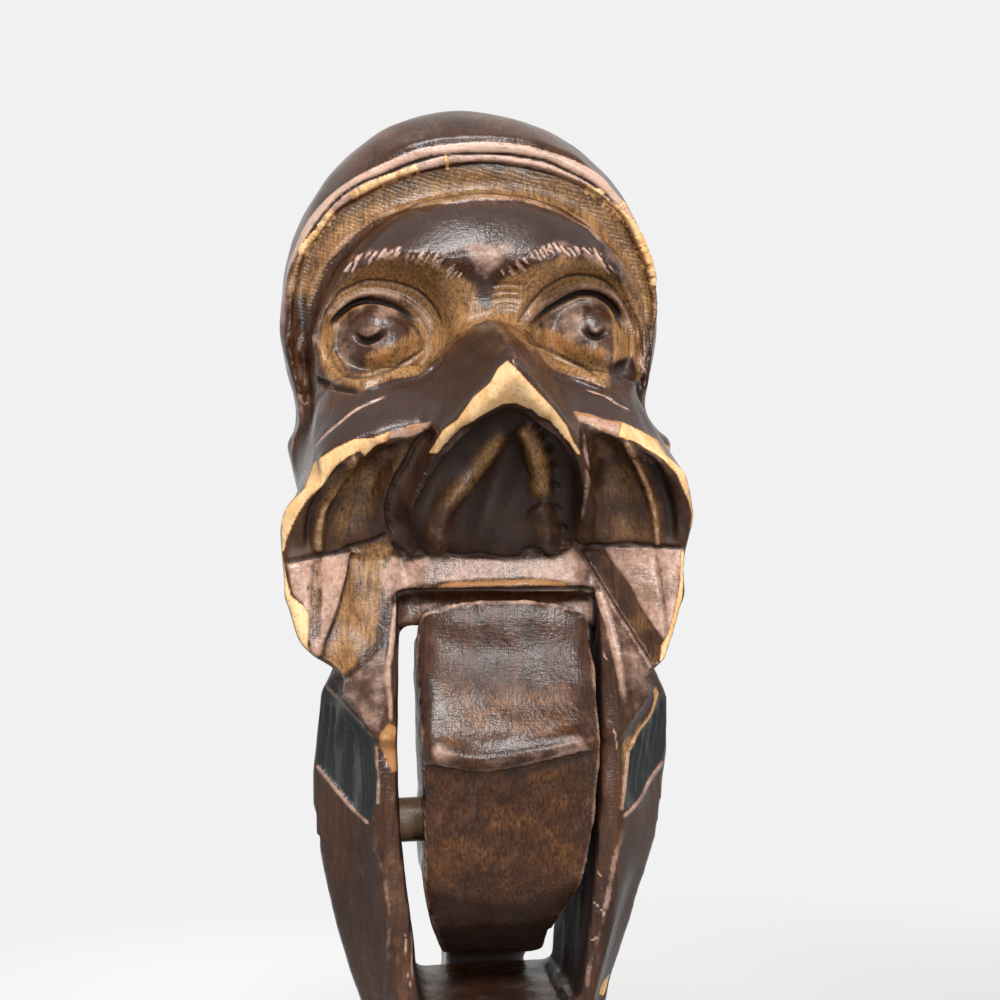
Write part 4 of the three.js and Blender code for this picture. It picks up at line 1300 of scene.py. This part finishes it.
# floor, light and camera
studioSettings = {
    "floor": 6000,
    "backdrop": 0.88,
    "floorFade": (40, 500),
    "ambient": 0.10,
    "floorLight": 0.22,      # the floor's colour in the light that it throws back
    "aim": (0, 10, 130),     # the lamps point here
    "key": {"x": -60, "depth": -480, "height": 590, "size": (220, 220), "power": 4.8, "gloss": True},
    "front": {"x": 88, "depth": -600, "height": 200, "size": (90, 170), "power": 2.2, "gloss": True},
    "rim": {"x": -120, "depth": 520, "height": 330, "size": (260, 260), "power": 2.2,
            "gloss": False},
}


def lamp(name, s):
    light = bpy.data.lights.new(name, "AREA")
    light.shape = "RECTANGLE"
    light.energy = s["power"]
    light.size, light.size_y = (side * mm for side in s["size"])
    holder = bpy.data.objects.new(name, light)
    bpy.context.scene.collection.objects.link(holder)
    holder.location = place(s["x"], s["depth"], s["height"])
    aim = place(*studioSettings["aim"]) - holder.location
    holder.rotation_euler = aim.to_track_quat("-Z", "Y").to_euler()
    holder.visible_glossy = s["gloss"]


# one for rays that show the pale background: from the camera, mirrored or let through
def backgroundRays(t):
    rays = t.node("ShaderNodeLightPath").outputs
    return t.math("ADD", t.plus(rays["Is Camera Ray"], rays["Is Glossy Ray"]),
                  rays["Is Transmission Ray"], clamp=True)


def studio(s):
    print("setting the studio")
    bpy.ops.object.select_all(action="DESELECT")
    bpy.ops.mesh.primitive_plane_add(size=s["floor"] * mm)
    floor = bpy.context.object
    floor.name = "floor"
    pale = colour(s["backdrop"], s["backdrop"], s["backdrop"])
    material = bpy.data.materials.new("paleFloor")
    t = Tree(material)
    shown = backgroundRays(t)
    plain = t.mix(t.noise(6, 2), colour(0.78, 0.78, 0.77), colour(0.82, 0.82, 0.81))
    dim = colour(s["floorLight"], s["floorLight"], s["floorLight"])
    t.feed(t.shader.inputs["Base Color"], t.mix(shown, dim, plain))
    t.shader.inputs["Roughness"].default_value = 0.9
    away = t.node("ShaderNodeVectorMath", {0: t.where((1, 1, 0))}, operation="LENGTH")
    near, far = s["floorFade"]
    fade = t.span(away.outputs["Value"], near * mm, far * mm)
    glow = t.node("ShaderNodeEmission", {"Color": pale})
    blend = t.node("ShaderNodeMixShader", {0: t.times(fade, shown)})
    t.feed(blend.inputs[1], t.shader.outputs[0])
    t.feed(blend.inputs[2], glow.outputs[0])
    t.feed(t.output.inputs["Surface"], blend.outputs[0])
    floor.data.materials.append(material)

    world = bpy.data.worlds.new("studio")
    bpy.context.scene.world = world
    t = Tree(world)
    around = t.node("ShaderNodeBackground", {"Color": colour(1, 1, 1), "Strength": s["ambient"]})
    behind = t.node("ShaderNodeBackground", {"Color": pale})
    either = t.node("ShaderNodeMixShader", {0: backgroundRays(t)})
    t.feed(either.inputs[1], around.outputs[0])
    t.feed(either.inputs[2], behind.outputs[0])
    t.feed(t.output.inputs["Surface"], either.outputs[0])
    for name in ("key", "front", "rim"):
        lamp(name, s[name])


def camera(s):
    data = bpy.data.cameras.new("view")
    holder = bpy.data.objects.new("view", data)
    bpy.context.scene.collection.objects.link(holder)
    bpy.context.scene.camera = holder
    data.sensor_width = s["sensor"]
    data.lens = s["lens"]
    data.clip_start = s["nearest"] * mm
    holder.matrix_world = (Matrix.Translation(place(s["x"], s["depth"], s["height"]))
                           @ viewTurn(s))


headPiece = carvedHead(headSettings)
jawPiece = jaw(jawSettings)
pinPiece = dowel(dowelSettings)
dress(headPiece, stainedWood("stainedWood", woodColours, woodFinish))
dress(jawPiece, stainedWood("jawWood", jawColours, jawFinish))
dowelColours = dict(woodColours, deep=colour(0.12, 0.072, 0.042), stain=colour(0.20, 0.125, 0.07))
dress(pinPiece, stainedWood("dowelWood", dowelColours, woodFinish))

for piece, node, body, slotName in [(headPiece, "carved_body", "body", "stained_wood"),
                                    (jawPiece, "jaw_lever", "lever", "jaw_wood"),
                                    (pinPiece, "pivot_dowel", "body", "dowel_wood")]:
    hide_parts(node)
    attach(piece, body)

studio(studioSettings)
camera(viewSettings)
